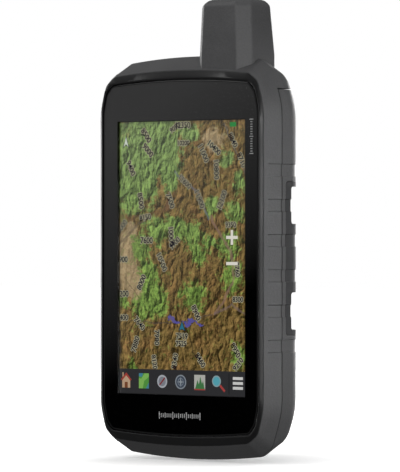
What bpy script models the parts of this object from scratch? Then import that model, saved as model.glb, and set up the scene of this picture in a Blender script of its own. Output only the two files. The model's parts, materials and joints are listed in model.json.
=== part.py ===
"""Handheld satellite navigator with a large touch display and a stub antenna.

The device stands upright: +Z runs up to the antenna, the display faces -Y, and +X is on the viewer's right.
Every size below is in millimetres. Shapes are laid out around the centre of the display: x = 0 is the centre
plane, y = 0 the plane of the display's picture and z = 0 the mid-height of the body. place() then moves each
object so that the origin is at the centre of the box's bottom face, and scales it to metres.
"""

import math

import bmesh
import bpy
from mathutils import Matrix, Vector

MM = 0.001

# Driving dimensions
HEIGHT = 181.2  # to the tip of the antenna
BODY_HEIGHT = 159.4  # without the antenna
WIDTH = 88.0
DEPTH = 33.0
GAP = 0.3  # clearance between neighbouring pieces
WALL = 2.3  # housing wall

BODY_H = BODY_HEIGHT / 2  # half height of the body
BODY_W = WIDTH / 2
FRONT = -1.5  # the bezel's ridge
BACK = FRONT + DEPTH
SHIFT = Vector((0.0, -(FRONT + BACK) / 2, BODY_H))

# Planes along the depth
GLASS_FRONT, GLASS_BACK = -1.2, 0.3
RIM = -0.7  # the bezel's outer edge
HOUSING_FRONT = -0.3  # front edge of the grey housing, just behind the bezel's edge
LAND = 1.5  # the ledge that carries glass and bezel
FRONT_WALL_BACK = 3.0
SEAM = 8.5  # parting plane of the two housing halves
STRIP_BACK = 11.0  # the rear half's plain strip beside the seam
TRAY_FLOOR, TRAY_FLOOR_TOP = 9.0, 10.4
LEDGE = 29.0  # seat of the battery door
HEAD_PARTING = 66.0  # height where the rear half ends under the head

# Half width, half height and the corner of one outline of the body. The corner's three points lie inwards
# of (half width, half height) by these distances: where the side starts to lean in, the shoulder, and
# where the diagonal meets the arched end.
GLASS_CORNER = (12.0, (1.7, 5.0), (4.6, 1.6))
RIM_CORNER = (15.0, (2.9, 5.2), (7.8, 1.8))
BODY_CORNER = (20.0, (4.8, 5.7), (10.5, 1.9))
REAR_CORNER = (17.0, (3.6, 7.2), (12.9, 1.5))
BACK_CORNER = (20.0, (2.4, 7.9), (9.4, 1.9))
CORNER_RADII = (30.0, 6.0, 5.0)
GLASS_RADII = (20.0, 3.5, 2.5)
CORNER_STEPS = 2
ARCH_STEPS = 6

# Grip bands pressed into the long sides
BAND_CENTRES = (-34.25, -20.55, -6.85, 6.85, 20.55, 34.25)
BAND_HALF = 2.55
BAND_SLOPE = 0.3
BAND_DEPTH = 0.4

# The outside of the body from front to back:
# (depth plane, half width, half height, corner, depth of the bands)
BODY_LEVELS = (
    (HOUSING_FRONT, 42.1, 74.2, RIM_CORNER, 0.0),
    (1.6, 42.5, 75.5, RIM_CORNER, 0.0),
    (2.0, 42.59, 75.76, (16.0, (3.2, 5.2), (8.2, 1.8)), BAND_DEPTH),
    (SEAM, BODY_W, BODY_H, BODY_CORNER, BAND_DEPTH),
    (12.0, BODY_W, 79.4, (19.0, (4.7, 6.3), (11.8, 1.6)), BAND_DEPTH),
    (15.0, 43.8, 78.6, REAR_CORNER, BAND_DEPTH),
    (18.0, 43.0, 76.9, REAR_CORNER, BAND_DEPTH),
    (20.5, 41.3, 74.9, REAR_CORNER, BAND_DEPTH),
    (22.9, 38.6, 72.4, REAR_CORNER, 0.0),
    (26.0, 33.4, 69.2, (20.0, (3.6, 7.4), (11.0, 1.7)), 0.0),
    (30.3, 29.8, 66.4, BACK_CORNER, 0.0),
    (BACK, 28.8, 65.4, BACK_CORNER, 0.0),
)
CAVITY_LEVELS = (
    (FRONT_WALL_BACK, 39.9, 73.0, (17.0, (3.3, 5.1), (8.6, 1.8))),
    (SEAM, BODY_W - WALL, BODY_H - WALL, BODY_CORNER),
    (15.0, 41.4, 76.2, REAR_CORNER),
    (18.0, 40.6, 74.5, REAR_CORNER),
    (20.0, 39.1, 73.0, REAR_CORNER),
    (21.6, 37.0, 71.2, REAR_CORNER),
    (24.6, 32.0, 67.6, REAR_CORNER),
    (LEDGE + 0.2, 27.8, 64.3, BACK_CORNER),
)

# Antenna tower: an upright box with bevelled edges that narrows towards its top
TOWER_X, TOWER_Y = (5.2, 32.3), (0.3, 23.2)
TOWER_BEVEL = 4.7
TOWER_TOP = HEIGHT - BODY_H
TOWER_TAPER = (0.5, 1.3, 0.8, 1.1)  # left, right, front and back, from the body's top to the cap
TOWER_CAP = ((0.0, 0.0), (0.9, 0.25), (1.9, 0.95), (2.7, 1.9), (3.2, 3.2))  # rounded end: (height, inset)
TOWER_WALL = 1.8

# Mount rails and their notches, in the rear corners
RAIL_HALF, RAIL_X = 30.0, 31.4
RAIL_GAP = 0.15
NOTCH_X, NOTCH_Y = 33.8, 14.6
NOTCH_Z = (13.4, 28.0)

# Battery bay, its door and the door's two D-ring locks
BAY_X, BAY_Z = 24.2, 42.5
DOOR_X, DOOR_Z = 26.8, 62.4
DOOR_CORNER = (19.0, (1.9, 7.6), (8.4, 1.8))
DOOR_INNER = 29.3
LOCK_Z = 53.2
DISH_RADIUS, DISH_FLOOR = 6.8, 28.6
BOSS_RADIUS, BOSS_BACK = 8.2, 26.6
STUD_RADIUS, SHANK_RADIUS = 3.2, 1.7
BAIL_RADIUS, BAIL_WIRE = 5.6, 0.55
PIVOT_Y = 30.3

# Side frame of the left wall: the key and the cap lie in its sloping plane
SIDE_LEAN = math.atan2(BODY_W - 42.0, SEAM - RIM)
SIDE_MID = Vector((-(42.0 + BODY_W) / 2, (RIM + SEAM) / 2, 0.0))
KEY_AT, CAP_AT = (0.2, 47.0), (1.0, -47.5)  # how far behind the middle of the wall, and the height
KEY_HALF = (2.0, 6.0)
KEY_FLANGE = (2.6, 6.9)
CAP_HALF = (2.7, 7.4)
CAP_HINGE = (2.9, 0.1)

SCREW_PLACES = ((-20.0, -55.5), (20.0, -55.5), (-20.0, 55.5), (20.0, 55.5))

MATERIALS = {
    "housing_grey": ((0.100, 0.100, 0.102), 0.62, 0.0),
    "bezel_black": ((0.030, 0.030, 0.032), 0.45, 0.0),
    "rail_grey": ((0.060, 0.060, 0.062), 0.70, 0.0),
    "cover_glass": ((0.010, 0.010, 0.012), 0.06, 0.0),
    "display": ((0.220, 0.270, 0.120), 0.25, 0.0),
    "rubber": ((0.030, 0.030, 0.031), 0.85, 0.0),
    "circuit_board": ((0.020, 0.120, 0.060), 0.50, 0.0),
    "shield_tin": ((0.600, 0.600, 0.610), 0.35, 1.0),
    "magnesium": ((0.420, 0.420, 0.430), 0.45, 1.0),
    "steel": ((0.520, 0.520, 0.530), 0.30, 1.0),
    "black_plastic": ((0.025, 0.025, 0.026), 0.50, 0.0),
    "battery_wrap": ((0.055, 0.060, 0.070), 0.55, 0.0),
    "ceramic": ((0.560, 0.530, 0.470), 0.60, 0.0),
}


# ---------------------------------------------------------------- shapes


def fillet(before, corner, after, radius, steps):
    """Points of the arc that rounds a corner of an outline, from the side of before to the side of after."""
    a = (before - corner).normalized()
    b = (after - corner).normalized()
    half = a.angle(b) / 2
    reach = min(radius / math.tan(half), 0.45 * (before - corner).length, 0.45 * (after - corner).length)
    middle = corner + (a + b).normalized() * (reach / math.cos(half))
    start = corner + a * reach - middle
    turn = math.pi - 2 * half
    side = 1.0 if a.cross(b) < 0 else -1.0
    points = []
    for i in range(steps + 1):
        angle = side * turn * i / steps
        spin = Matrix.Rotation(angle, 2)
        points.append(middle + spin @ start)
    return points


def arch(right, crown, steps):
    """Points strictly between (x, z) and (-x, z) on the arc through them and (0, crown)."""
    x, z = right
    rise = crown - z
    radius = (x * x + rise * rise) / (2 * rise)
    reach = math.asin(x / abs(radius))
    points = []
    for i in range(1, steps):
        angle = reach * (1 - 2 * i / steps)
        points.append(Vector((radius * math.sin(angle), crown - radius * (1 - math.cos(angle)))))
    return points


def side_points(half_width, band):
    """Points up the right side, stepping in by band across each grip band."""
    points = []
    for centre in BAND_CENTRES:
        for offset, inset in (
            (-BAND_HALF, 0.0),
            (BAND_SLOPE - BAND_HALF, band),
            (BAND_HALF - BAND_SLOPE, band),
            (BAND_HALF, 0.0),
        ):
            points.append(Vector((half_width - inset, centre + offset)))
    return points


def quarter(half_width, half_height, corner, radii):
    """The upper right corner of an outline, from the side to the arched end."""
    lean, shoulder, end = corner
    foot = Vector((half_width, 0.0))
    first = Vector((half_width, half_height - lean))
    second = Vector((half_width - shoulder[0], half_height - shoulder[1]))
    third = Vector((half_width - end[0], half_height - end[1]))
    crown = Vector((0.0, half_height))
    points = fillet(foot, first, second, radii[0], CORNER_STEPS)
    points += fillet(first, second, third, radii[1], CORNER_STEPS)
    points += fillet(second, third, crown, radii[2], CORNER_STEPS)
    return points


def outline(half_width, half_height, corner=BODY_CORNER, radii=CORNER_RADII, band=0.0, banded=True):
    """One closed outline of the body in (x, z), counter-clockwise from the middle of the right side."""
    turn = quarter(half_width, half_height, corner, radii)
    top = turn + arch(turn[-1], half_height, ARCH_STEPS)
    top += [Vector((-p.x, p.y)) for p in reversed(turn)]
    side = side_points(half_width, band) if banded else []
    left = [Vector((-p.x, p.y)) for p in reversed(side)]
    bottom = [-p for p in top]
    return side + top + left + bottom


def level(depth, half_width, half_height, corner=BODY_CORNER, radii=CORNER_RADII, band=0.0, banded=True):
    """An outline as a loop of 3-D points at one depth plane."""
    return [Vector((p.x, depth, p.y)) for p in outline(half_width, half_height, corner, radii, band, banded)]


def rounded_rectangle(half_x, half_z, radius, steps=4):
    """A closed rounded rectangle in (x, z), counter-clockwise."""
    points = []
    for quadrant, (sx, sz) in enumerate(((1, 1), (-1, 1), (-1, -1), (1, -1))):
        for i in range(steps + 1):
            angle = (quadrant + i / steps) * math.pi / 2
            centre = Vector((sx * (half_x - radius), sz * (half_z - radius)))
            points.append(centre + radius * Vector((math.cos(angle), math.sin(angle))))
    return points


def circle(radius, steps):
    return [
        Vector((radius * math.cos(2 * math.pi * i / steps), radius * math.sin(2 * math.pi * i / steps)))
        for i in range(steps)
    ]


def at_depth(points, depth, centre=(0.0, 0.0)):
    return [Vector((p.x + centre[0], depth, p.y + centre[1])) for p in points]


def loft(loops, closed=False):
    """A bmesh through loops with the same number of points: capped at both ends, or closed into a ring."""
    mesh = bmesh.new()
    rows = [[mesh.verts.new(p) for p in loop] for loop in loops]
    pairs = list(zip(rows, rows[1:]))
    if closed:
        pairs.append((rows[-1], rows[0]))
    for a, b in pairs:
        for i in range(len(a)):
            j = (i + 1) % len(a)
            mesh.faces.new((a[i], a[j], b[j], b[i]))
    bmesh.ops.triangulate(mesh, faces=mesh.faces[:])
    if not closed:
        mesh.faces.new(list(reversed(rows[0])))
        mesh.faces.new(rows[-1])
    bmesh.ops.recalc_face_normals(mesh, faces=mesh.faces)
    return mesh


def prism(points, near, far, centre=(0.0, 0.0)):
    """An outline in (x, z) pushed from one depth plane to another."""
    return loft([at_depth(points, near, centre), at_depth(points, far, centre)])


def box(x, y, z):
    """A box from its low and high values along each axis."""
    mesh = bmesh.new()
    bmesh.ops.create_cube(mesh, size=1.0)
    for v in mesh.verts:
        shares = zip((x, y, z), v.co)
        v.co = Vector([span[0] + (span[1] - span[0]) * (share + 0.5) for span, share in shares])
    return mesh


def disc(centre, radius, near, far, steps=24):
    """A round plug along the depth."""
    return prism(circle(radius, steps), near, far, centre)


def bevel_sharp(mesh, width, angle=50.0, segments=1):
    """Breaks the sharp edges of a bmesh."""
    limit = math.radians(angle)
    edges = [e for e in mesh.edges if e.is_manifold and e.calc_face_angle(0.0) > limit]
    bmesh.ops.bevel(mesh, geom=edges, offset=width, segments=segments, affect="EDGES", clamp_overlap=True)
    return mesh


# ---------------------------------------------------------------- objects


def material(name):
    found = bpy.data.materials.get(name)
    if found:
        return found
    colour, roughness, metallic = MATERIALS[name]
    made = bpy.data.materials.new(name)
    made.use_nodes = True
    shader = made.node_tree.nodes["Principled BSDF"]
    shader.inputs["Base Color"].default_value = (*colour, 1.0)
    shader.inputs["Roughness"].default_value = roughness
    shader.inputs["Metallic"].default_value = metallic
    made.diffuse_color = (*colour, 1.0)
    return made


def solid(name, mesh, finish="housing_grey"):
    """An object from a bmesh, still in millimetres around the display's centre."""
    data = bpy.data.meshes.new(name)
    mesh.to_mesh(data)
    mesh.free()
    made = bpy.data.objects.new(name, data)
    data.materials.append(material(finish))
    bpy.context.scene.collection.objects.link(made)
    return made


def combine(target, meshes, operation):
    """Cuts, joins or intersects target with each bmesh, by exact Booleans applied at once."""
    for mesh in meshes:
        cutter = solid("cutter", mesh)
        modifier = target.modifiers.new("step", "BOOLEAN")
        modifier.operation = operation
        modifier.solver = "EXACT"
        modifier.object = cutter
        bpy.context.view_layer.update()
        graph = bpy.context.evaluated_depsgraph_get()
        result = bpy.data.meshes.new_from_object(target.evaluated_get(graph), depsgraph=graph)
        target.modifiers.clear()
        old = target.data
        target.data = result
        bpy.data.meshes.remove(old)
        bpy.data.objects.remove(cutter)
    finish = target.data.materials[0]
    target.data.materials.clear()
    target.data.materials.append(finish)
    for face in target.data.polygons:
        face.material_index = 0
    return target


def cut(target, *meshes):
    return combine(target, meshes, "DIFFERENCE")


def join(target, *meshes):
    return combine(target, meshes, "UNION")


def keep(target, *meshes):
    return combine(target, meshes, "INTERSECT")


def trimmed(mesh, other, operation="INTERSECT"):
    """The bmesh left after one Boolean of mesh with other."""
    obj = solid("trimmed", mesh)
    combine(obj, [other], operation)
    left = bmesh.new()
    left.from_mesh(obj.data)
    bpy.data.objects.remove(obj)
    return left


def place(obj, pivot=(0.0, 0.0, 0.0), smooth=35.0):
    """Moves an object from layout millimetres to metres in the part's frame, with its origin on pivot."""
    pivot = Vector(pivot)
    obj.data.transform(Matrix.Scale(MM, 4) @ Matrix.Translation(-pivot))
    obj.location = (pivot + SHIFT) * MM
    obj.data.shade_smooth()
    obj.data.set_sharp_from_angle(angle=math.radians(smooth))
    return obj


def side_matrix(at):
    """From the left wall's own frame (x towards the rear, y outwards, z up) to the layout."""
    towards_rear = Vector((-math.sin(SIDE_LEAN), math.cos(SIDE_LEAN), 0.0))
    outwards = Vector((-math.cos(SIDE_LEAN), -math.sin(SIDE_LEAN), 0.0))
    turn = Matrix((towards_rear, outwards, Vector((0.0, 0.0, 1.0)))).transposed()
    return Matrix.Translation(SIDE_MID + at[0] * towards_rear + Vector((0.0, 0.0, at[1]))) @ turn.to_4x4()


def on_side(mesh, at):
    mesh.transform(side_matrix(at))
    bmesh.ops.recalc_face_normals(mesh, faces=mesh.faces)
    return mesh


def side_slab(half_u, half_z, near, far, radius):
    """A rounded slab in the left wall's frame, from near to far along the outward normal."""
    return prism(rounded_rectangle(half_u, half_z, radius, 3), near, far)


# ---------------------------------------------------------------- housings


def door_level(depth, grow):
    """The battery door's outline at one depth plane, grown outwards."""
    return level(depth, DOOR_X + grow, DOOR_Z + grow, DOOR_CORNER, banded=False)


def body_solid():
    return loft([level(y, w, h, corner, band=band) for y, w, h, corner, band in BODY_LEVELS])


def cavity_solid():
    return loft([level(y, w, h, corner, banded=False) for y, w, h, corner in CAVITY_LEVELS])


def tower_outline(inset, taper):
    """The tower's cross-section in (x, y), its edges bevelled and the bevels' corners slightly rounded."""
    left, right, front, back = (inset + taper * side for side in TOWER_TAPER)
    x0, x1 = TOWER_X[0] + left, TOWER_X[1] - right
    y0, y1 = TOWER_Y[0] + front, TOWER_Y[1] - back
    c = max(TOWER_BEVEL - 0.4 * inset, 1.0)
    ends = [
        (x0 + c, y0), (x1 - c, y0), (x1, y0 + c), (x1, y1 - c),
        (x1 - c, y1), (x0 + c, y1), (x0, y1 - c), (x0, y0 + c),
    ]
    ends = [Vector(p) for p in ends]
    points = []
    for i, corner in enumerate(ends):
        points += fillet(ends[i - 1], corner, ends[(i + 1) % len(ends)], 1.6, 2)
    return points


def tower_solid(inset=0.0, low=70.0, top=TOWER_TOP):
    """The tower, or with an inset its hollow."""
    shoulder = top - TOWER_CAP[-1][0]
    stages = [(low, 0.0, 0.0), (BODY_H, 0.0, 0.0)]
    stages += [(shoulder + height, round_in, 1.0) for height, round_in in TOWER_CAP]
    loops = [[Vector((p.x, p.y, z)) for p in tower_outline(inset + more, taper)] for z, more, taper in stages]
    return loft(loops)


def make_front_housing():
    """Grey front half with the head and the antenna tower in one moulding."""
    obj = solid("front_housing", body_solid())
    lower_rear = box((-60, 60), (SEAM, 60), (-120, HEAD_PARTING + GAP / 2))
    cut(obj, lower_rear)
    join(obj, tower_solid())
    bezel_seat = loft([level(y, 41.2, 73.2, RIM_CORNER, banded=False) for y in (-5.0, LAND)])
    opening = prism(rounded_rectangle(36.3, 60.3, 2.0), -5.0, 5.0)
    cut(obj, bezel_seat, opening, cavity_solid(), tower_solid(TOWER_WALL, 69.0, TOWER_TOP - TOWER_WALL))
    pad = on_side(side_slab(4.6, 8.8, -4.0, -1.0, 2.0), CAP_AT)
    join(obj, trimmed(pad, box((-60, 0), (LAND + 0.2, 7.3), (-60, -30))))
    hole = KEY_HALF[0] + GAP
    key_hole = on_side(side_slab(hole, KEY_HALF[1] + GAP, -6.0, 3.0, hole - 0.01), KEY_AT)
    key_pocket = on_side(side_slab(KEY_FLANGE[0] + GAP, KEY_FLANGE[1] + GAP, -8.0, -2.8, 1.6), KEY_AT)
    cap_seat = on_side(side_slab(CAP_HALF[0] + GAP, CAP_HALF[1] + GAP, -1.7, 3.0, 1.5), CAP_AT)
    port = on_side(side_slab(2.0, 4.7, -8.0, 0.0, 1.2), CAP_AT)
    cut(obj, key_hole, key_pocket, cap_seat, port)
    slot_places = (-24.0, -22.0, -20.0, -18.0, -16.0)
    slots = [box((x - 0.5, x + 0.5), (20.0, 40.0), (68.2, 71.8)) for x in slot_places]
    cut(obj, *slots)
    return place(obj)


def make_rear_housing():
    """Grey rear half: a shell with the battery bay, the seat of its door and the wells of the two locks."""
    obj = solid("rear_housing", body_solid())
    keep(obj, box((-60, 60), (SEAM + GAP, 60), (-120, HEAD_PARTING - GAP / 2)))
    cut(obj, trimmed(cavity_solid(), box((-60, 60), (0, 60), (-120, HEAD_PARTING - WALL))))
    tray = box((-BAY_X - 1.6, BAY_X + 1.6), (TRAY_FLOOR, 30.0), (-BAY_Z - 1.6, BAY_Z + 1.6))
    flange = loft([door_level(y, 1.4) for y in (26.6, 30.0)])
    ends = [tuple(sorted((side * 44.0, side * 62.0))) for side in (-1, 1)]
    blocks = [box((-11.5, 11.5), (22.0, 29.6), end) for end in ends]
    posts = [disc(spot, 3.6, TRAY_FLOOR, 29.3, 16) for spot in SCREW_PLACES]
    join(obj, tray, flange, *blocks, *posts)
    door_seat = loft([door_level(y, GAP) for y in (LEDGE, 40.0)])
    bay = prism(rounded_rectangle(BAY_X, BAY_Z, 3.0), TRAY_FLOOR_TOP, 40.0)
    cut(obj, door_seat, bay)
    for side in (-1, 1):
        boss_well = disc((0.0, side * LOCK_Z), BOSS_RADIUS + GAP, BOSS_BACK - GAP, 31.0, 32)
        foot_well = disc((0.0, side * LOCK_Z), 4.4, 23.4, 31.0)
        cut(obj, boss_well, foot_well)
    for spot in SCREW_PLACES:
        cut(obj, disc(spot, 2.7, 14.0, 40.0, 16), disc(spot, 1.5, 5.0, 40.0, 12))
    groove = prism(rounded_rectangle(BAY_X + 2.0, BAY_Z + 2.0, 4.0), LEDGE - 0.9, 40.0)
    land = prism(rounded_rectangle(BAY_X + 0.8, BAY_Z + 0.8, 3.4), LEDGE - 2.0, 50.0)
    cut(obj, trimmed(groove, land, "DIFFERENCE"))
    for side in (-1, 1):
        across = tuple(sorted((side * (RAIL_X - RAIL_GAP), side * 60)))
        cut(obj, box(across, (STRIP_BACK, 60), (-RAIL_HALF - RAIL_GAP, RAIL_HALF + RAIL_GAP)))
    return place(obj)


def make_mount_rail(name, side):
    """Dark insert in a rear corner, with two notches for the arms of a vehicle cradle."""
    obj = solid(name, body_solid(), "rail_grey")
    outer = tuple(sorted((side * RAIL_X, side * 60)))
    keep(obj, box(outer, (STRIP_BACK + RAIL_GAP, 60), (-RAIL_HALF, RAIL_HALF)))
    for up in (-1, 1):
        low, high = sorted((up * NOTCH_Z[0], up * NOTCH_Z[1]))
        notch = box(tuple(sorted((side * NOTCH_X, side * 60))), (NOTCH_Y, 60), (low, high))
        cut(obj, notch)
    return place(obj)


def make_front_bezel():
    """Black ring around the glass: an inner lip, a flat sloping outwards and an edge over the housing."""
    rings = (
        (1.2, 40.25, 70.45, GLASS_CORNER, GLASS_RADII),
        (FRONT + 0.25, 40.25, 70.45, GLASS_CORNER, GLASS_RADII),
        (FRONT, 40.45, 70.65, GLASS_CORNER, GLASS_RADII),
        (FRONT, 40.75, 71.0, GLASS_CORNER, GLASS_RADII),
        (FRONT + 0.15, 41.1, 71.6, RIM_CORNER, CORNER_RADII),
        (RIM - 0.05, 42.0, 74.0, RIM_CORNER, CORNER_RADII),
        (HOUSING_FRONT - 0.2, 42.0, 74.0, RIM_CORNER, CORNER_RADII),
        (HOUSING_FRONT - 0.2, 40.9, 72.9, RIM_CORNER, CORNER_RADII),
        (1.2, 40.9, 72.9, RIM_CORNER, CORNER_RADII),
    )
    loops = [level(y, w, h, corner, radii, banded=False) for y, w, h, corner, radii in rings]
    return place(solid("front_bezel", loft(loops, closed=True), "bezel_black"))


# ---------------------------------------------------------------- display stack


def make_touch_glass():
    loops = [
        level(GLASS_BACK, 39.9, 70.0, GLASS_CORNER, GLASS_RADII, banded=False),
        level(GLASS_FRONT + 0.25, 39.9, 70.0, GLASS_CORNER, GLASS_RADII, banded=False),
        level(GLASS_FRONT, 39.65, 69.75, GLASS_CORNER, GLASS_RADII, banded=False),
    ]
    return place(solid("touch_glass", loft(loops), "cover_glass"))


def make_glass_seal():
    outer = (39.4, 69.4)
    loops = [level(y, *outer, GLASS_CORNER, GLASS_RADII, banded=False) for y in (0.6, 1.2)]
    obj = solid("glass_seal", loft(loops), "rubber")
    return place(cut(obj, prism(rounded_rectangle(37.0, 61.2, 2.0), 0.0, 2.0)))


def make_display_module():
    mesh = bevel_sharp(box((-35.2, 35.2), (0.6, 2.4), (-58.5, 58.5)), 0.3)
    return place(solid("display_module", mesh, "display"))


def make_backlight():
    mesh = bevel_sharp(box((-35.4, 35.4), (2.7, 3.9), (-59.0, 59.0)), 0.3)
    obj = solid("backlight_tray", mesh, "shield_tin")
    return place(obj)


def side_clearance(depth_low, depth_high):
    """Two blocks of space on the left, for the power switch and the data port."""
    return [box((-60.0, -33.6), (depth_low, depth_high), (z - 9.5, z + 9.5)) for _, z in (KEY_AT, CAP_AT)]


def make_mid_frame():
    """Magnesium plate behind the display, which carries the board and takes the housing screws."""
    loops = [level(y, 38.6, 69.0, banded=False) for y in (4.2, 5.2)]
    obj = solid("mid_frame", loft(loops), "magnesium")
    pane = rounded_rectangle(12.0, 14.0, 3.0)
    windows = [prism(pane, 3.0, 6.0, (x, z)) for x in (-17.0, 17.0) for z in (-24.0, 24.0)]
    holes = [disc(spot, 1.4, 3.0, 6.0, 12) for spot in SCREW_PLACES]
    return place(cut(obj, *windows, *holes, *side_clearance(3.0, 6.0)))


def make_main_board():
    loops = [level(y, 38.2, 68.4, banded=False) for y in (5.8, 6.8)]
    obj = solid("main_board", loft(loops), "circuit_board")
    holes = [disc(spot, 1.7, 5.0, 8.0, 12) for spot in SCREW_PLACES]
    return place(cut(obj, *holes, *side_clearance(5.0, 8.0)))


def make_shield_can(name, x, z, size):
    half_x, half_z = size
    can = prism(rounded_rectangle(half_x, half_z, 1.2, 2), 7.1, 8.6, (x, z))
    return place(solid(name, bevel_sharp(can, 0.25), "shield_tin"))


# ---------------------------------------------------------------- antenna and sound


def make_antenna_element():
    """Ceramic core of the four-arm helix antenna, with its helical arms as raised ribs."""
    centre = Vector(((TOWER_X[0] + TOWER_X[1]) / 2, (TOWER_Y[0] + TOWER_Y[1]) / 2))
    radius, rib, turns, steps, arms = 7.2, 0.35, 0.5, 10, 4
    sides = 24
    loops = []
    for i in range(steps + 1):
        z = 71.5 + 26.0 * i / steps
        twist = 2 * math.pi * turns * i / steps
        loop = []
        for k in range(sides):
            angle = 2 * math.pi * k / sides
            on_arm = k % (sides // arms) in (0, 1)
            r = radius + (rib if on_arm else 0.0)
            turned = angle + twist
            loop.append(Vector((centre.x + r * math.cos(turned), centre.y + r * math.sin(turned), z)))
        loops.append(loop)
    return place(solid("antenna_element", loft(loops), "ceramic"))


def make_antenna_base():
    """Small board under the antenna element."""
    centre_x, centre_y = sum(TOWER_X) / 2, sum(TOWER_Y) / 2
    board = box((centre_x - 9, centre_x + 9), (centre_y - 7.5, centre_y + 7.5), (69.8, 71.0))
    return place(solid("antenna_board", board, "circuit_board"))


def make_speaker():
    spot = (-20.0, 70.1)
    obj = solid("speaker", disc(spot, 3.4, 13.6, 17.2, 24), "black_plastic")
    return place(join(obj, disc(spot, 3.0, 12.9, 15.0, 24)))


# ---------------------------------------------------------------- battery bay


def make_battery_pack():
    shell = prism(rounded_rectangle(BAY_X - 0.6, BAY_Z - 2.5, 3.0), 13.4, 28.2, (0.0, -1.9))
    obj = solid("battery_pack", bevel_sharp(shell, 0.8), "battery_wrap")
    pull = box((-6.0, 6.0), (27.4, 30.0), (-39.5, -35.5))
    return place(cut(obj, pull))


def make_battery_contacts():
    """Contact block at the top of the bay, with three spring blades facing the pack."""
    mesh = box((-11.0, 11.0), (11.0, 19.0), (BAY_Z - 2.6, BAY_Z - 0.4))
    obj = solid("battery_contacts", mesh, "black_plastic")
    blades = [box((x - 1.2, x + 1.2), (14.5, 17.5), (BAY_Z - 4.0, BAY_Z - 2.3)) for x in (-7.0, 0.0, 7.0)]
    return place(join(obj, *blades))


def make_card_reader():
    obj = solid("card_reader", box((-19.0, -5.0), (10.7, 13.0), (-36.0, -22.0)), "steel")
    return place(cut(obj, box((-18.0, -6.0), (11.3, 12.6), (-40.0, -23.0))))


def make_memory_card():
    return place(solid("memory_card", box((-17.5, -6.5), (11.6, 12.3), (-38.3, -23.4)), "black_plastic"))


def make_battery_door():
    """Removable door on the back, with a round dish around each D-ring lock."""
    plate = loft([door_level(DOOR_INNER, 0.0), door_level(BACK - 0.7, 0.0), door_level(BACK, -0.7)])
    obj = solid("battery_door", plate)
    join(obj, *[disc((0.0, side * LOCK_Z), BOSS_RADIUS, BOSS_BACK, 30.5, 32) for side in (-1, 1)])
    for side in (-1, 1):
        spot = (0.0, side * LOCK_Z)
        dish = disc(spot, DISH_RADIUS, DISH_FLOOR, 40.0, 32)
        cut(obj, dish, disc(spot, SHANK_RADIUS + GAP, 20.0, 40.0, 16))
    channel = prism(rounded_rectangle(17.0, 30.0, 8.0, 6), BACK - 0.5, 40.0)
    return place(cut(obj, channel))


def make_door_seal():
    loops = [
        at_depth(rounded_rectangle(BAY_X + 1.1, BAY_Z + 1.1, 3.5), LEDGE - 0.6),
        at_depth(rounded_rectangle(BAY_X + 1.7, BAY_Z + 1.7, 3.8), LEDGE - 0.6),
        at_depth(rounded_rectangle(BAY_X + 1.7, BAY_Z + 1.7, 3.8), LEDGE),
        at_depth(rounded_rectangle(BAY_X + 1.1, BAY_Z + 1.1, 3.5), LEDGE),
    ]
    return place(solid("battery_door_seal", loft(loops, closed=True), "rubber"))


def make_lock_stud(name, side):
    """Quarter-turn stud of a D-ring lock: head with a cross hole for the ring, shank and cam foot."""
    spot = (0.0, side * LOCK_Z)
    obj = solid(name, disc(spot, STUD_RADIUS, DISH_FLOOR + GAP, BACK - 0.2, 24), "steel")
    foot = box((-3.4, 3.4), (24.2, 25.6), (side * LOCK_Z - 1.3, side * LOCK_Z + 1.3))
    join(obj, disc(spot, SHANK_RADIUS, 24.0, 29.5, 16), foot)
    hole = prism(circle(BAIL_WIRE + 0.32, 12), -6.0, 6.0)
    hole.transform(Matrix.Translation((0.0, PIVOT_Y, side * LOCK_Z)) @ Matrix.Rotation(math.pi / 2, 4, "Z"))
    bmesh.ops.recalc_face_normals(hole, faces=hole.faces)
    return place(cut(obj, hole), (0.0, PIVOT_Y, side * LOCK_Z))


def make_lock_ring(name, side):
    """Wire D-ring hanging flat in the dish: a half circle whose straight side passes through the stud."""
    data = bpy.data.curves.new(name, "CURVE")
    data.dimensions = "3D"
    data.bevel_depth = BAIL_WIRE
    data.bevel_resolution = 2
    data.use_fill_caps = True
    line = [Vector((2.2, 0.0)), Vector((3.6, 0.0)), Vector((5.0, 0.0))]
    turn = [
        Vector((BAIL_RADIUS * math.cos(a), BAIL_RADIUS * math.sin(a)))
        for a in (math.radians(d) for d in range(15, 166, 15))
    ]
    points = line + turn + [Vector((-p.x, p.y)) for p in reversed(line)]
    spline = data.splines.new("POLY")
    spline.points.add(len(points) - 1)
    for point, p in zip(spline.points, points):
        point.co = (p.x, PIVOT_Y, side * LOCK_Z - p.y, 1.0)
    curve = bpy.data.objects.new(name + "_line", data)
    bpy.context.scene.collection.objects.link(curve)
    bpy.context.view_layer.update()
    mesh = bmesh.new()
    shaped = curve.evaluated_get(bpy.context.evaluated_depsgraph_get()).to_mesh()
    mesh.from_mesh(shaped)
    bpy.data.objects.remove(curve)
    bmesh.ops.remove_doubles(mesh, verts=mesh.verts, dist=0.01)
    bmesh.ops.recalc_face_normals(mesh, faces=mesh.faces)
    return place(solid(name, mesh, "steel"), (0.0, PIVOT_Y, side * LOCK_Z))


# ---------------------------------------------------------------- left side: key, data port, weather cap


def side_point(u, outwards, at):
    return side_matrix(at) @ Vector((u, outwards, 0.0))


def make_power_key():
    """Oval key in the left wall, with the flange inside that stops it falling out."""
    cap = side_slab(*KEY_HALF, -3.2, 0.5, KEY_HALF[0] - 0.01)
    bevel_sharp(cap, 0.35, segments=2)
    obj = solid("power_key", on_side(cap, KEY_AT), "black_plastic")
    flange = on_side(side_slab(*KEY_FLANGE, -3.9, -3.1, 1.3), KEY_AT)
    stem = on_side(side_slab(0.8, 0.8, -4.4, -3.5, 0.3), KEY_AT)
    return place(join(obj, flange, stem), side_point(0.0, 0.0, KEY_AT))


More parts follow.
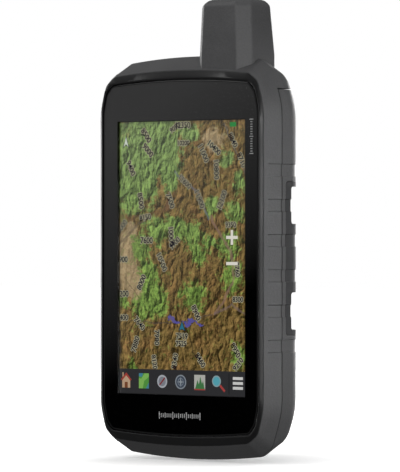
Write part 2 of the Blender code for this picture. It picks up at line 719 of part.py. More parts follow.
def make_power_switch():
    obj = solid("power_switch", on_side(side_slab(1.6, 2.6, -7.6, -5.5, 0.3), KEY_AT), "black_plastic")
    return place(cut(obj, on_side(side_slab(0.95, 0.95, -7.1, -4.0, 0.3), KEY_AT)))


def make_switch_plunger():
    obj = solid("power_switch_plunger", on_side(side_slab(0.6, 0.6, -6.3, -4.7, 0.2), KEY_AT), "steel")
    return place(obj, side_point(0.0, 0.0, KEY_AT))


def make_data_port():
    """Micro connector behind the weather cap: a tin shell with a tongue."""
    obj = solid("data_port", on_side(side_slab(1.55, 4.0, -7.2, -4.3, 0.6), CAP_AT), "shield_tin")
    cut(obj, on_side(side_slab(1.15, 3.6, -6.8, -4.0, 0.4), CAP_AT))
    return place(join(obj, on_side(side_slab(0.35, 2.6, -7.0, -4.8, 0.1), CAP_AT)))


def make_data_port_cap():
    """Rubber weather cap over the data port, with its plug and a finger lip at the front edge."""
    plate = side_slab(*CAP_HALF, -1.4, 0.1, 1.2)
    bevel_sharp(plate, 0.2)
    obj = solid("data_port_cap", on_side(plate, CAP_AT), "rubber")
    plug = prism(rounded_rectangle(1.15, 4.0, 0.9, 3), -2.8, -1.0, (0.25, 0.0))
    ridge = box((-2.6, -1.8), (-0.5, 0.55), (-3.0, 3.0))
    join(obj, on_side(plug, CAP_AT), on_side(ridge, CAP_AT))
    return place(obj, side_point(*CAP_HINGE, CAP_AT))


# ---------------------------------------------------------------- seals and screws


def make_housing_seal():
    """Closed gasket inside the joint of the two housing halves."""
    top = HEAD_PARTING - WALL - GAP
    ring = loft([level(y, 41.0, 76.6, banded=False) for y in (7.7, 9.2)])
    obj = solid("housing_seal", trimmed(ring, box((-60, 60), (0, 20), (-120, top))), "rubber")
    hole = loft([level(y, 40.1, 75.7, banded=False) for y in (5.0, 12.0)])
    return place(cut(obj, trimmed(hole, box((-60, 60), (0, 20), (-120, top - 1.0)))))


def make_screw(name, spot):
    """Housing screw: round head with a hexagon socket and a plain shank that stands for the thread."""
    obj = solid(name, disc(spot, 2.2, 14.3, 16.1, 20), "steel")
    join(obj, disc(spot, 1.05, 4.3, 15.0, 12))
    return place(cut(obj, disc(spot, 1.0, 15.1, 20.0, 6)))


def main():
    for obj in list(bpy.data.objects):
        bpy.data.objects.remove(obj)
    make_front_housing()
    make_rear_housing()
    make_mount_rail("mount_rail_left", -1)
    make_mount_rail("mount_rail_right", 1)
    make_front_bezel()
    make_touch_glass()
    make_glass_seal()
    make_display_module()
    make_backlight()
    make_mid_frame()
    make_main_board()
    make_shield_can("processor_shield", -14.0, 26.0, (11.0, 13.0))
    make_shield_can("receiver_shield", 18.0, 34.0, (9.0, 10.0))
    make_shield_can("charger_shield", 14.0, -30.0, (10.0, 8.0))
    make_antenna_element()
    make_antenna_base()
    make_speaker()
    make_battery_pack()
    make_battery_contacts()
    make_card_reader()
    make_memory_card()
    make_battery_door()
    make_door_seal()
    for name, side in (("top", 1), ("bottom", -1)):
        make_lock_stud(f"lock_stud_{name}", side)
        make_lock_ring(f"lock_ring_{name}", side)
    make_power_key()
    make_power_switch()
    make_switch_plunger()
    make_data_port()
    make_data_port_cap()
    make_housing_seal()
    for i, spot in enumerate(SCREW_PLACES):
        make_screw(f"housing_screw_{i + 1}", spot)


main()
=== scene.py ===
"""Looks of the handheld navigator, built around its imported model.

Shapes are laid out in millimetres around the centre of the display: x to the right, y = 0 at the plane of
the display's picture with the rear positive, and z = 0 at the body's mid-height. TO_FRAME takes them to the
frame.
"""

import json
import math

import bmesh
import bpy
from mathutils import Euler, Matrix, Vector


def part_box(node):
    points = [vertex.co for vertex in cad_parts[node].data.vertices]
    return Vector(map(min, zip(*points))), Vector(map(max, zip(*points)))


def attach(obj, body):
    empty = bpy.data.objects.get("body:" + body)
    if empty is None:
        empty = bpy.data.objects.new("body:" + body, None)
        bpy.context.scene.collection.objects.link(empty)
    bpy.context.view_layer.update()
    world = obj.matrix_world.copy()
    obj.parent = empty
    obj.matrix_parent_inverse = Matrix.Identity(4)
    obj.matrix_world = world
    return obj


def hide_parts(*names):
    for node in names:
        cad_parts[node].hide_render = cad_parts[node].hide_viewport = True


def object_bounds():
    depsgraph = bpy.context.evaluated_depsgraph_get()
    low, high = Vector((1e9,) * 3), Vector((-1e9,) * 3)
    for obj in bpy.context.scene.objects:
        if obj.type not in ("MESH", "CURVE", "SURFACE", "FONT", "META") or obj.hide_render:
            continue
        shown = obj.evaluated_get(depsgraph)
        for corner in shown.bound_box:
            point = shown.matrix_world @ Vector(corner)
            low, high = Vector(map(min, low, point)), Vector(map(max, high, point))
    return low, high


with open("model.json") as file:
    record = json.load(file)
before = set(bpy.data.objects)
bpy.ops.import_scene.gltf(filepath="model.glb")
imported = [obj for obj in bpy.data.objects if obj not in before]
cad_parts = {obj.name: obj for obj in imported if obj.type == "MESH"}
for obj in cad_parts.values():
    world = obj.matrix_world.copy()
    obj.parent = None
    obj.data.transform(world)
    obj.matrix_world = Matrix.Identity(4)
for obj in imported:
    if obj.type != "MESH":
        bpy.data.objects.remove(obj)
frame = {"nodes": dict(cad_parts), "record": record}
cad_low, cad_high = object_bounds()

MM = 0.001

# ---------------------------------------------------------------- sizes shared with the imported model

FRONT, BACK = -1.5, 31.5
GLASS_FRONT = -1.2
RIM = -0.7
HOUSING_FRONT = -0.3
LAND = 1.5
FRONT_WALL_BACK = 3.0
SEAM = 8.5
STRIP_BACK = 11.0
TRAY_FLOOR, TRAY_FLOOR_TOP = 9.0, 10.4
LEDGE = 29.0
HEAD_PARTING = 66.0
GAP = 0.3
SEAM_MORE = 0.1  # the seam is drawn this much wider on each side
WALL = 2.3
BODY_H = 79.7
BODY_W = 44.0
HEIGHT = 181.2

GLASS_CORNER = (12.0, (1.7, 5.0), (4.6, 1.6))
RIM_CORNER = (15.0, (2.9, 5.2), (7.8, 1.8))
BODY_CORNER = (20.0, (4.8, 5.7), (10.5, 1.9))
REAR_CORNER = (17.0, (3.6, 7.2), (12.9, 1.5))
BACK_CORNER = (20.0, (2.4, 7.9), (9.4, 1.9))
DOOR_CORNER = (19.0, (1.9, 7.6), (8.4, 1.8))
CORNER_RADII = (30.0, 6.0, 5.0)
GLASS_RADII = (20.0, 3.5, 2.5)
CORNER_STEPS = 6
ARCH_STEPS = 20

BAND_CENTRES = (-34.25, -20.55, -6.85, 6.85, 20.55, 34.25)
BAND_DEPTH = 0.4
BAND_PROFILE = (
    (-2.55, 0.0), (-2.47, 0.05), (-2.3, 0.32), (-2.2, 0.4),
    (2.2, 0.4), (2.3, 0.32), (2.47, 0.05), (2.55, 0.0),
)

BODY_LEVELS = (
    (HOUSING_FRONT, 42.1, 74.2, RIM_CORNER, 0.0),
    (1.6, 42.5, 75.5, RIM_CORNER, 0.0),
    (2.0, 42.59, 75.76, (16.0, (3.2, 5.2), (8.2, 1.8)), BAND_DEPTH),
    (SEAM, BODY_W, BODY_H, BODY_CORNER, BAND_DEPTH),
    (12.0, BODY_W, 79.4, (19.0, (4.7, 6.3), (11.8, 1.6)), BAND_DEPTH),
    (15.0, 43.8, 78.6, REAR_CORNER, BAND_DEPTH),
    (18.0, 43.0, 76.9, REAR_CORNER, BAND_DEPTH),
    (20.5, 41.3, 74.9, REAR_CORNER, BAND_DEPTH),
    (22.9, 38.6, 72.4, REAR_CORNER, 0.0),
    (26.0, 33.4, 69.2, (20.0, (3.6, 7.4), (11.0, 1.7)), 0.0),
    (30.3, 29.8, 66.4, BACK_CORNER, 0.0),
    (BACK, 28.8, 65.4, BACK_CORNER, 0.0),
)
CAVITY_LEVELS = (
    (FRONT_WALL_BACK, 39.9, 73.0, (17.0, (3.3, 5.1), (8.6, 1.8)), 0.0),
    (SEAM, BODY_W - WALL, BODY_H - WALL, BODY_CORNER, 0.0),
    (15.0, 41.4, 76.2, REAR_CORNER, 0.0),
    (18.0, 40.6, 74.5, REAR_CORNER, 0.0),
    (20.0, 39.1, 73.0, REAR_CORNER, 0.0),
    (21.6, 37.0, 71.2, REAR_CORNER, 0.0),
    (24.6, 32.0, 67.6, REAR_CORNER, 0.0),
    (LEDGE + 0.2, 27.8, 64.3, BACK_CORNER, 0.0),
)
FINE_DEPTHS = (
    -0.3, 0.6, 1.6, 1.72, 1.88, 2.0, 4.2, 6.4, 8.2, 8.5, 8.8, 9.6, 10.4, 11.2, 12.0, 12.75, 13.5, 14.25,
    15.0, 15.75, 16.5, 17.25, 18.0, 18.6, 19.2, 19.85, 20.5, 21.1, 21.7, 22.3, 22.9, 23.7, 24.5, 25.25,
    26.0, 27.0, 28.0, 29.2, 30.3, 30.9, 31.3, 31.5,
)

TOWER_X, TOWER_Y = (5.2, 32.3), (0.3, 23.2)
TOWER_BEVEL = 4.7
TOWER_TOP = HEIGHT - BODY_H
TOWER_TAPER = (0.5, 1.3, 0.8, 1.1)
TOWER_CAP = ((0.0, 0.0), (0.9, 0.25), (1.9, 0.95), (2.7, 1.9), (3.2, 3.2))
TOWER_WALL = 1.8

RAIL_HALF, RAIL_X, RAIL_GAP = 30.0, 31.4, 0.15
NOTCH_X, NOTCH_Y, NOTCH_Z = 33.8, 14.6, (13.4, 28.0)
BAY_X, BAY_Z = 24.2, 42.5
DOOR_X, DOOR_Z = 26.8, 62.4
LOCK_Z = 53.2
BOSS_RADIUS, BOSS_BACK = 8.2, 26.6

SIDE_LEAN = math.atan2(BODY_W - 42.0, SEAM - RIM)
SIDE_MID = Vector((-(42.0 + BODY_W) / 2, (RIM + SEAM) / 2, 0.0))
KEY_AT, CAP_AT = (0.2, 47.0), (1.0, -47.5)
KEY_HALF, KEY_FLANGE, CAP_HALF = (2.0, 6.0), (2.6, 6.9), (2.7, 7.4)
BEZEL_SEAT = (41.2, 73.2)
PICTURE_WINDOW = (36.3, 60.3, 2.0)  # half width, half height and corner radius
CAP_PAD = (4.6, 8.8, -4.0, -1.0, 2.0)  # as side_slab takes them
PORT_MOUTH = (2.0, 4.7, -8.0, 0.0, 1.2)
SPEAKER_SLOTS, SLOT_HALF, SLOT_Z = (-24, -22, -20, -18, -16), (0.5, 1.8), 70.0
FAR, UNDER, BEHIND = 60.0, -120.0, 40.0  # clear of the body: at its sides, below it and behind it
SHELL_BEVEL, RAIL_BEVEL = 0.22, 0.3
BEVEL_ANGLE, BEVEL_SEGMENTS = 32.0, 2
SCREW_PLACES = ((-20.0, -55.5), (20.0, -55.5), (-20.0, 55.5), (20.0, 55.5))

SCREEN_X, SCREEN_Z = 32.4, 54.0
MENU_TOP, MENU_Z = -44.2, -48.9  # the menu bar's upper edge and the height of its icons
PICTURE_Y = 0.0
LAYER = -0.02  # each layer of the display's drawing lies this far in front of the one below

glass_low, glass_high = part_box("touch_glass")
CENTRE = Vector((
    (glass_low.x + glass_high.x) / 2, glass_low.y - GLASS_FRONT * MM, (glass_low.z + glass_high.z) / 2,
))
TO_FRAME = Matrix.Translation(CENTRE) @ Matrix.Scale(MM, 4)


# ---------------------------------------------------------------- outlines


def fillet(before, corner, after, radius, steps):
    """Points of the arc that rounds a corner of an outline."""
    a = (before - corner).normalized()
    b = (after - corner).normalized()
    half = a.angle(b) / 2
    reach = min(radius / math.tan(half), 0.45 * (before - corner).length, 0.45 * (after - corner).length)
    middle = corner + (a + b).normalized() * (reach / math.cos(half))
    start = corner + a * reach - middle
    turn = math.pi - 2 * half
    side = 1.0 if a.cross(b) < 0 else -1.0
    return [middle + Matrix.Rotation(side * turn * i / steps, 2) @ start for i in range(steps + 1)]


def rounded(corners, radius, steps=5):
    """A closed outline with every corner rounded; radius may be one number or one per corner."""
    corners = [Vector(p) for p in corners]
    radii = radius if isinstance(radius, (list, tuple)) else [radius] * len(corners)
    points = []
    for i, corner in enumerate(corners):
        if radii[i] <= 0:
            points.append(corner)
        else:
            points += fillet(corners[i - 1], corner, corners[(i + 1) % len(corners)], radii[i], steps)
    return points


def arch(right, crown, steps):
    """Points strictly between (x, z) and (-x, z) on the arc through them and (0, crown)."""
    x, z = right
    rise = crown - z
    radius = (x * x + rise * rise) / (2 * rise)
    reach = math.asin(x / abs(radius))
    angles = [reach * (1 - 2 * i / steps) for i in range(1, steps)]
    return [Vector((radius * math.sin(a), crown - radius * (1 - math.cos(a)))) for a in angles]


def quarter(half_width, half_height, corner, radii):
    """The upper right corner of an outline, from the side to the arched end."""
    lean, shoulder, end = corner
    foot = Vector((half_width, 0.0))
    first = Vector((half_width, half_height - lean))
    second = Vector((half_width - shoulder[0], half_height - shoulder[1]))
    third = Vector((half_width - end[0], half_height - end[1]))
    crown = Vector((0.0, half_height))
    points = fillet(foot, first, second, radii[0], CORNER_STEPS)
    points += fillet(first, second, third, radii[1], CORNER_STEPS)
    points += fillet(second, third, crown, radii[2], CORNER_STEPS)
    return points


def outline(half_width, half_height, corner=BODY_CORNER, radii=CORNER_RADII, band=0.0, banded=False):
    """One closed outline of the body in (x, z), counter-clockwise from the middle of the right side."""
    turn = quarter(half_width, half_height, corner, radii)
    top = turn + arch(turn[-1], half_height, ARCH_STEPS) + [Vector((-p.x, p.y)) for p in reversed(turn)]
    side = []
    if banded:
        for centre in BAND_CENTRES:
            for z, inset in BAND_PROFILE:
                side.append(Vector((half_width - band * inset / BAND_DEPTH, centre + z)))
    left = [Vector((-p.x, p.y)) for p in reversed(side)]
    return side + top + left + [-p for p in top]


def level(depth, half_width, half_height, corner=BODY_CORNER, radii=CORNER_RADII, band=0.0, banded=False):
    """An outline as a loop of 3-D points at one depth plane."""
    return [Vector((p.x, depth, p.y)) for p in outline(half_width, half_height, corner, radii, band, banded)]


def flat(values):
    """A level's numbers in one row, without its depth."""
    _, w, h, (lean, shoulder, end), band = values
    return (w, h, lean, *shoulder, *end, band)


def smooth_level(levels, depth, banded):
    """The body's loop at any depth: straight drafts in front of the seam, and one smooth curve behind it."""
    ys = [values[0] for values in levels]
    rows = [flat(values) for values in levels]
    i = max(k for k in range(len(ys)) if ys[k] <= depth + 1e-6)
    if i == len(ys) - 1:
        mixed = rows[-1]
    else:
        step = ys[i + 1] - ys[i]
        t = (depth - ys[i]) / step

        def slope(k, n):
            """A tangent that never overshoots its neighbours."""
            if ys[k] <= SEAM + 0.01 or k in (0, len(ys) - 1):
                return None
            before = (rows[k][n] - rows[k - 1][n]) / (ys[k] - ys[k - 1])
            after = (rows[k + 1][n] - rows[k][n]) / (ys[k + 1] - ys[k])
            return 0.0 if before * after <= 0 else 2 * before * after / (before + after)

        mixed = []
        for n in range(len(rows[0])):
            a, b = rows[i][n], rows[i + 1][n]
            chord = (b - a) / step
            m0, m1 = slope(i, n), slope(i + 1, n)
            m0 = chord if m0 is None else m0
            m1 = chord if m1 is None else m1
            if ys[i] < SEAM - 0.01 or n == len(rows[0]) - 1:
                m0 = m1 = chord
            mixed.append(
                (2 * t**3 - 3 * t**2 + 1) * a
                + (t**3 - 2 * t**2 + t) * step * m0
                + (3 * t**2 - 2 * t**3) * b
                + (t**3 - t**2) * step * m1
            )
    w, h, lean, sx, sz, ex, ez, band = mixed
    return level(depth, w, h, (lean, (sx, sz), (ex, ez)), band=band, banded=banded)


def rounded_rectangle(half_x, half_z, radius, steps=8):
    corners = ((half_x, half_z), (-half_x, half_z), (-half_x, -half_z), (half_x, -half_z))
    return rounded([corners[3], corners[0], corners[1], corners[2]], radius, steps)


def circle(radius, steps):
    turns = [2 * math.pi * i / steps for i in range(steps)]
    return [Vector((radius * math.cos(a), radius * math.sin(a))) for a in turns]


def at_depth(points, depth, centre=(0.0, 0.0)):
    return [Vector((p.x + centre[0], depth, p.y + centre[1])) for p in points]


# ---------------------------------------------------------------- meshes


def loft(loops, closed=False, triangles=True):
    """A bmesh through loops with the same number of points: capped at both ends, or closed into a ring."""
    mesh = bmesh.new()
    rows = [[mesh.verts.new(p) for p in loop] for loop in loops]
    pairs = list(zip(rows, rows[1:]))
    if closed:
        pairs.append((rows[-1], rows[0]))
    for a, b in pairs:
        for i in range(len(a)):
            j = (i + 1) % len(a)
            mesh.faces.new((a[i], a[j], b[j], b[i]))
    if triangles:
        bmesh.ops.triangulate(mesh, faces=mesh.faces[:])
    if not closed:
        mesh.faces.new(list(reversed(rows[0])))
        mesh.faces.new(rows[-1])
    bmesh.ops.recalc_face_normals(mesh, faces=mesh.faces)
    return mesh


def prism(points, near, far, centre=(0.0, 0.0)):
    """An outline in (x, z) pushed from one depth plane to another."""
    return loft([at_depth(points, near, centre), at_depth(points, far, centre)], triangles=False)


def cross_prism(points, x0, x1):
    """An outline in (y, z) pushed along x."""
    return loft([[Vector((x, p.x, p.y)) for p in points] for x in (x0, x1)], triangles=False)


def box(x, y, z):
    """A box from its low and high values along each axis."""
    corners = ((y[0], z[0]), (y[1], z[0]), (y[1], z[1]), (y[0], z[1]))
    return cross_prism([Vector(p) for p in corners], *x)


def disc(centre, radius, near, far, steps=48):
    return prism(circle(radius, steps), near, far, centre)


def baked(name, mesh):
    """Mesh data from a bmesh, which is freed."""
    data = bpy.data.meshes.new(name)
    mesh.to_mesh(data)
    mesh.free()
    return data


def placed(name, data):
    """A new object in the scene."""
    obj = bpy.data.objects.new(name, data)
    bpy.context.scene.collection.objects.link(obj)
    return obj


def join_meshes(meshes):
    """One bmesh that holds several, unconnected."""
    whole = bmesh.new()
    for part in meshes:
        data = baked("part", part)
        whole.from_mesh(data)
        bpy.data.meshes.remove(data)
    return whole


def boolean(mesh, operation, *others):
    """The bmesh after one exact Boolean with several others at once."""
    target = scratch(mesh)
    group = bpy.data.collections.new("cutters")
    bpy.context.scene.collection.children.link(group)
    cutters = [scratch(other, group) for other in others]
    modifier = target.modifiers.new("step", "BOOLEAN")
    modifier.operation = operation
    modifier.solver = "EXACT"
    modifier.use_self = False
    if len(cutters) == 1:
        modifier.object = cutters[0]
    else:
        modifier.operand_type = "COLLECTION"
        modifier.collection = group
    bpy.context.view_layer.update()
    graph = bpy.context.evaluated_depsgraph_get()
    data = bpy.data.meshes.new_from_object(target.evaluated_get(graph), depsgraph=graph)
    result = bmesh.new()
    result.from_mesh(data)
    bpy.data.meshes.remove(data)
    for obj in [target, *cutters]:
        old = obj.data
        bpy.data.objects.remove(obj)
        bpy.data.meshes.remove(old)
    bpy.data.collections.remove(group)
    for face in result.faces:
        face.material_index = 0
    return result


def scratch(mesh, group=None):
    obj = bpy.data.objects.new("scratch", baked("scratch", mesh))
    (group or bpy.context.scene.collection).objects.link(obj)
    return obj


def cut(mesh, *others):
    return boolean(mesh, "DIFFERENCE", *others)


def cut_each(mesh, *cutters):
    """One cut after another."""
    for cutter in cutters:
        mesh = cut(mesh, cutter)
    return mesh


def join(mesh, *others):
    return boolean(mesh, "UNION", *others)


def keep(mesh, other):
    return boolean(mesh, "INTERSECT", other)


def clean(mesh):
    """Merges what Booleans split: points that coincide and faces that lie in one plane."""
    bmesh.ops.remove_doubles(mesh, verts=mesh.verts[:], dist=0.012)
    bmesh.ops.dissolve_degenerate(mesh, edges=mesh.edges[:], dist=0.01)
    bmesh.ops.dissolve_limit(mesh, angle_limit=math.radians(0.6), verts=mesh.verts[:], edges=mesh.edges[:])
    return mesh


def piece(name, mesh, finish, body="body", replaces=(), bevel=0.0, sharp=None):
    """An object in the frame from a bmesh in the layout's millimetres."""
    mesh.transform(TO_FRAME)
    bmesh.ops.recalc_face_normals(mesh, faces=mesh.faces[:])
    data = baked(name, mesh)
    data.shade_smooth()
    if sharp is not None:
        data.set_sharp_from_angle(angle=math.radians(sharp))
    obj = placed(name, data)
    data.materials.append(finish)
    if bevel:
        soften(obj, bevel)
    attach(obj, body)
    if replaces:
        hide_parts(*replaces)
    return obj


def soften(obj, width):
    """Rounds an object's sharp edges and evens its shading."""
    edge = obj.modifiers.new("edges", "BEVEL")
    edge.width = width * MM
    edge.segments = BEVEL_SEGMENTS
    edge.limit_method = "ANGLE"
    edge.angle_limit = math.radians(BEVEL_ANGLE)
    edge.use_clamp_overlap = True
    edge.miter_outer = "MITER_ARC"
    normal = obj.modifiers.new("normals", "WEIGHTED_NORMAL")
    normal.keep_sharp = False
    normal.weight = 60


# ---------------------------------------------------------------- materials


class Graph:
    """The node tree of a material or a world, with short calls for the nodes that are used."""

    def __init__(self, name, kinds=None, output="ShaderNodeOutputMaterial", where="Object"):
        self.material = (bpy.data.materials if kinds is None else kinds).new(name)
        self.material.use_nodes = True
        self.tree = self.material.node_tree
        self.tree.nodes.clear()
        self.out = self.add(output)
        self.where = self.add("ShaderNodeTexCoord").outputs[where]

    def add(self, kind, inputs=None, **settings):
        node = self.tree.nodes.new(kind)
        for key, value in settings.items():
            setattr(node, key, value)
        for key, value in (inputs or {}).items():
            self.put(node.inputs[key], value)
        return node

    def put(self, socket, value):
        if isinstance(value, bpy.types.NodeSocket):
            self.tree.links.new(value, socket)
        elif value is not None:
            if socket.type == "RGBA" and len(value) == 3:
                value = (*value, 1.0)
            socket.default_value = value

    def math(self, operation, a, b=0.5, c=None):
        node = self.add("ShaderNodeMath", {0: a, 1: b}, operation=operation)
        if c is not None:
            self.put(node.inputs[2], c)
        return node.outputs[0]

    def span(self, value, low, high, to_low=0.0, to_high=1.0, smooth=False):
        kind = "SMOOTHSTEP" if smooth else "LINEAR"
        sockets = {"Value": value, "From Min": low, "From Max": high, "To Min": to_low, "To Max": to_high}
        return self.add("ShaderNodeMapRange", sockets, interpolation_type=kind).outputs["Result"]

    def mix(self, factor, a, b, blend="MIX"):
        node = self.add("ShaderNodeMix", data_type="RGBA", blend_type=blend)
        self.put(node.inputs[0], factor)
        self.put(node.inputs[6], a)
        self.put(node.inputs[7], b)
        return node.outputs[2]

    def times(self, a, b):
        return self.math("MULTIPLY", a, b)

    def plus(self, a, b):
        return self.math("ADD", a, b)

    def minus(self, a, b):
        return self.math("SUBTRACT", a, b)

    def size(self, a):
        return self.math("ABSOLUTE", a)

    def axes(self, vector):
        return self.add("ShaderNodeSeparateXYZ", {0: vector}).outputs

    def length(self, vector):
        return self.add("ShaderNodeVectorMath", {0: vector}, operation="LENGTH").outputs["Value"]

    def noise(self, where, scale, detail=4.0, rough=0.55, output=0):
        sockets = {"Vector": where, "Scale": scale, "Detail": detail, "Roughness": rough}
        return self.add("ShaderNodeTexNoise", sockets).outputs[output]

    def moved(self, where, offset=(0, 0, 0), scale=(1, 1, 1), turn=(0, 0, 0)):
        sockets = {"Vector": where, "Location": offset, "Rotation": turn, "Scale": scale}
        return self.add("ShaderNodeMapping", sockets).outputs[0]

    def bump(self, height, depth_mm):
        sockets = {"Height": height, "Distance": depth_mm * MM, "Strength": 1.0}
        return self.add("ShaderNodeBump", sockets).outputs[0]

    def principled(self, **sockets):
        names = {key.replace("_", " "): value for key, value in sockets.items()}
        node = self.add("ShaderNodeBsdfPrincipled", names)
        self.show(node)
        return node

    def glow(self, colour, strength):
        self.show(self.add("ShaderNodeEmission", {"Color": colour, "Strength": strength}))

    def show(self, shader):
        self.tree.links.new(shader.outputs[0], self.out.inputs[0])


def srgb(*values):
    """A linear colour from display values of 0 to 255."""
    shares = [v / 255 for v in values]
    return tuple(s / 12.92 if s <= 0.04045 else ((s + 0.055) / 1.055) ** 2.4 for s in shares)


def moulded(name, colour, roughness, grain_mm, grain_depth, specular=0.5, spread=0.12, scuff=0.0):
    """Moulded plastic: a spark-eroded grain, slow drifts of tone and sheen, and faint handling marks."""
    g = Graph(name)
    grain = g.noise(g.where, 1.0 / (grain_mm * MM), 3.0, 0.6)
    drift = g.noise(g.where, 55.0, 5.0, 0.6)
    pores = {"Vector": g.where, "Scale": 0.8 / (grain_mm * MM)}
    cells = g.add("ShaderNodeTexVoronoi", pores, feature="SMOOTH_F1")
    tone = g.span(drift, 0.3, 0.7, 1.0 - spread, 1.0 + spread)
    tone = g.times(tone, g.span(grain, 0.3, 0.7, 1.0 - spread * 0.8, 1.0 + spread * 0.8))
    grey = g.add("ShaderNodeCombineColor", {0: tone, 1: tone, 2: tone}).outputs[0]
    shade = g.mix(1.0, colour, grey, "MULTIPLY")
    if scuff:
        marks = g.noise(g.moved(g.where, scale=(1.0, 1.0, 0.25)), 420.0, 6.0, 0.75)
        faint = g.times(g.span(marks, 0.6, 0.75), scuff)
        shade = g.mix(faint, shade, tuple(min(1.0, c * 2.2 + 0.01) for c in colour))
    rough = g.span(drift, 0.3, 0.7, roughness - 0.06, roughness + 0.06)
    height = g.plus(grain, g.times(cells.outputs["Distance"], 0.8))
    g.principled(
        Base_Color=shade, Roughness=rough, Specular_IOR_Level=specular, Normal=g.bump(height, grain_depth)
    )
    return g.material


def metal(name, colour, roughness, stretch=(1, 1, 1), scale=900.0, depth=0.006, spots=0.0):
    """Bare or plated metal with fine working marks and a slight tarnish."""
    g = Graph(name)
    lines = g.noise(g.moved(g.where, scale=stretch), scale, 4.0, 0.6)
    cloud = g.noise(g.where, 160.0, 5.0, 0.65)
    dark = tuple(c * 0.72 for c in colour)
    shade = g.mix(g.span(cloud, 0.35, 0.7), colour, dark)
    rough = g.span(lines, 0.3, 0.7, roughness - 0.07, roughness + 0.1)
    height = lines
    if spots:
        pits = g.noise(g.where, spots, 2.0, 0.5)
        height = g.plus(height, g.times(pits, 2.0))
    g.principled(Base_Color=shade, Roughness=rough, Metallic=1.0, Normal=g.bump(height, depth))
    return g.material


def board():
    """Solder mask in two greens, with bare pads."""
    g = Graph("circuit_board")
    across = g.add("ShaderNodeTexBrick", {
        "Vector": g.moved(g.where, turn=(math.pi / 2, 0, 0)), "Scale": 260.0, "Mortar Size": 0.035,
        "Color1": (1, 1, 1, 1), "Color2": (0.7, 0.7, 0.7, 1), "Mortar": (0, 0, 0, 1),
    })
    cells = g.add("ShaderNodeTexVoronoi", {"Vector": g.where, "Scale": 420.0}, distance="CHEBYCHEV")
    pads = g.math("LESS_THAN", cells.outputs["Distance"], 0.16)
    mask = g.mix(across.outputs["Color"], (0.012, 0.085, 0.04), (0.02, 0.14, 0.07))
    shade = g.mix(pads, mask, (0.62, 0.5, 0.26))
    g.principled(
        Base_Color=shade, Roughness=g.span(pads, 0, 1, 0.42, 0.3), Metallic=pads,
        Normal=g.bump(across.outputs["Color"], 0.03),
    )
    return g.material


def wrap():
    """The battery pack's printed sleeve: two tones with a pale band of plain bars."""
    g = Graph("battery_wrap")
    parts = g.axes(g.where)
    band = g.math("COMPARE", parts[2], CENTRE.z + 0.02, 0.006)
    bars = g.math("GREATER_THAN", g.math("FRACT", g.times(parts[0], 420.0)), 0.45)
    inside = g.math("COMPARE", parts[0], CENTRE.x, 0.014)
    ink = g.times(g.times(band, bars), inside)
    lower = g.math("LESS_THAN", parts[2], CENTRE.z - 0.008)
    film = g.noise(g.where, 300.0, 4.0, 0.6)
    ground = g.mix(lower, (0.03, 0.034, 0.04), (0.11, 0.12, 0.13))
    ground = g.mix(g.span(film, 0.4, 0.8, 0.0, 0.35), ground, (0.02, 0.02, 0.022))
    g.principled(
        Base_Color=g.mix(ink, ground, (0.55, 0.56, 0.57)), Roughness=g.span(film, 0.3, 0.7, 0.38, 0.52),
        Normal=g.bump(film, 0.02),
    )
    return g.material


def fired():
    """The antenna's ceramic core."""
    g = Graph("ceramic")
    speck = g.noise(g.where, 2200.0, 3.0, 0.6)
    shade = g.mix(g.span(speck, 0.4, 0.7), (0.60, 0.56, 0.49), (0.46, 0.42, 0.36))
    g.principled(Base_Color=shade, Roughness=0.6, Normal=g.bump(speck, 0.02))
    return g.material


def cover():
    """Nearly pure transparent glass with a faint mirror share: what is behind shows unbent."""
    g = Graph("cover_glass")
    smear = g.noise(g.where, 35.0, 5.0, 0.6)
    rough = g.span(smear, 0.35, 0.75, 0.035, 0.075)
    clear = g.add("ShaderNodeBsdfTransparent", {0: (0.99, 0.99, 0.99, 1)}).outputs[0]
    shine = g.add("ShaderNodeBsdfAnisotropic", {"Color": (1, 1, 1, 1), "Roughness": rough}).outputs[0]
    facing = g.times(g.add("ShaderNodeFresnel", {"IOR": 1.5}).outputs[0], 0.02)
    both = g.add("ShaderNodeMixShader", {0: facing, 1: clear, 2: shine})
    g.show(both)
    return g.material


# moulded takes colour, roughness, grain size and depth in mm, specular level, drift of tone, handling marks
FINISHES = {
    "housing_grey": moulded("housing_grey", srgb(76, 76, 77), 0.56, 0.62, 0.06, 0.42, 0.13, 0.05),
    "bezel_black": moulded("bezel_black", srgb(14, 14, 15), 0.36, 0.4, 0.006, 0.36, 0.08, 0.02),
    "rail_grey": moulded("rail_grey", srgb(54, 54, 55), 0.66, 0.28, 0.03, 0.35, 0.07, 0.04),
    "cover_glass": cover(),
    "display": moulded("display_frame", srgb(8, 8, 9), 0.5, 0.6, 0.01),
    "rubber": moulded("rubber", srgb(34, 34, 35), 0.78, 0.3, 0.03, 0.3, 0.1, 0.04),
    "circuit_board": board(),
    "shield_tin": metal("shield_tin", (0.56, 0.56, 0.57), 0.32, (1, 1, 8), 700.0, 0.01),
    "magnesium": metal("magnesium", (0.36, 0.36, 0.37), 0.46, (1, 1, 1), 1600.0, 0.02, 500.0),
    "steel": metal("steel", (0.50, 0.50, 0.51), 0.27, (8, 1, 1), 500.0, 0.006),
    "black_plastic": moulded("black_plastic", srgb(30, 30, 31), 0.5, 0.35, 0.015, 0.45, 0.08, 0.05),
    "battery_wrap": wrap(),
    "ceramic": fired(),
}


def node_slot(name):
    """The material slot that the record gives a node."""
    for entry in frame["record"]["subparts"]:
        if entry["node"] == name:
            return entry["material_slot"]
    return None


# ---------------------------------------------------------------- housings


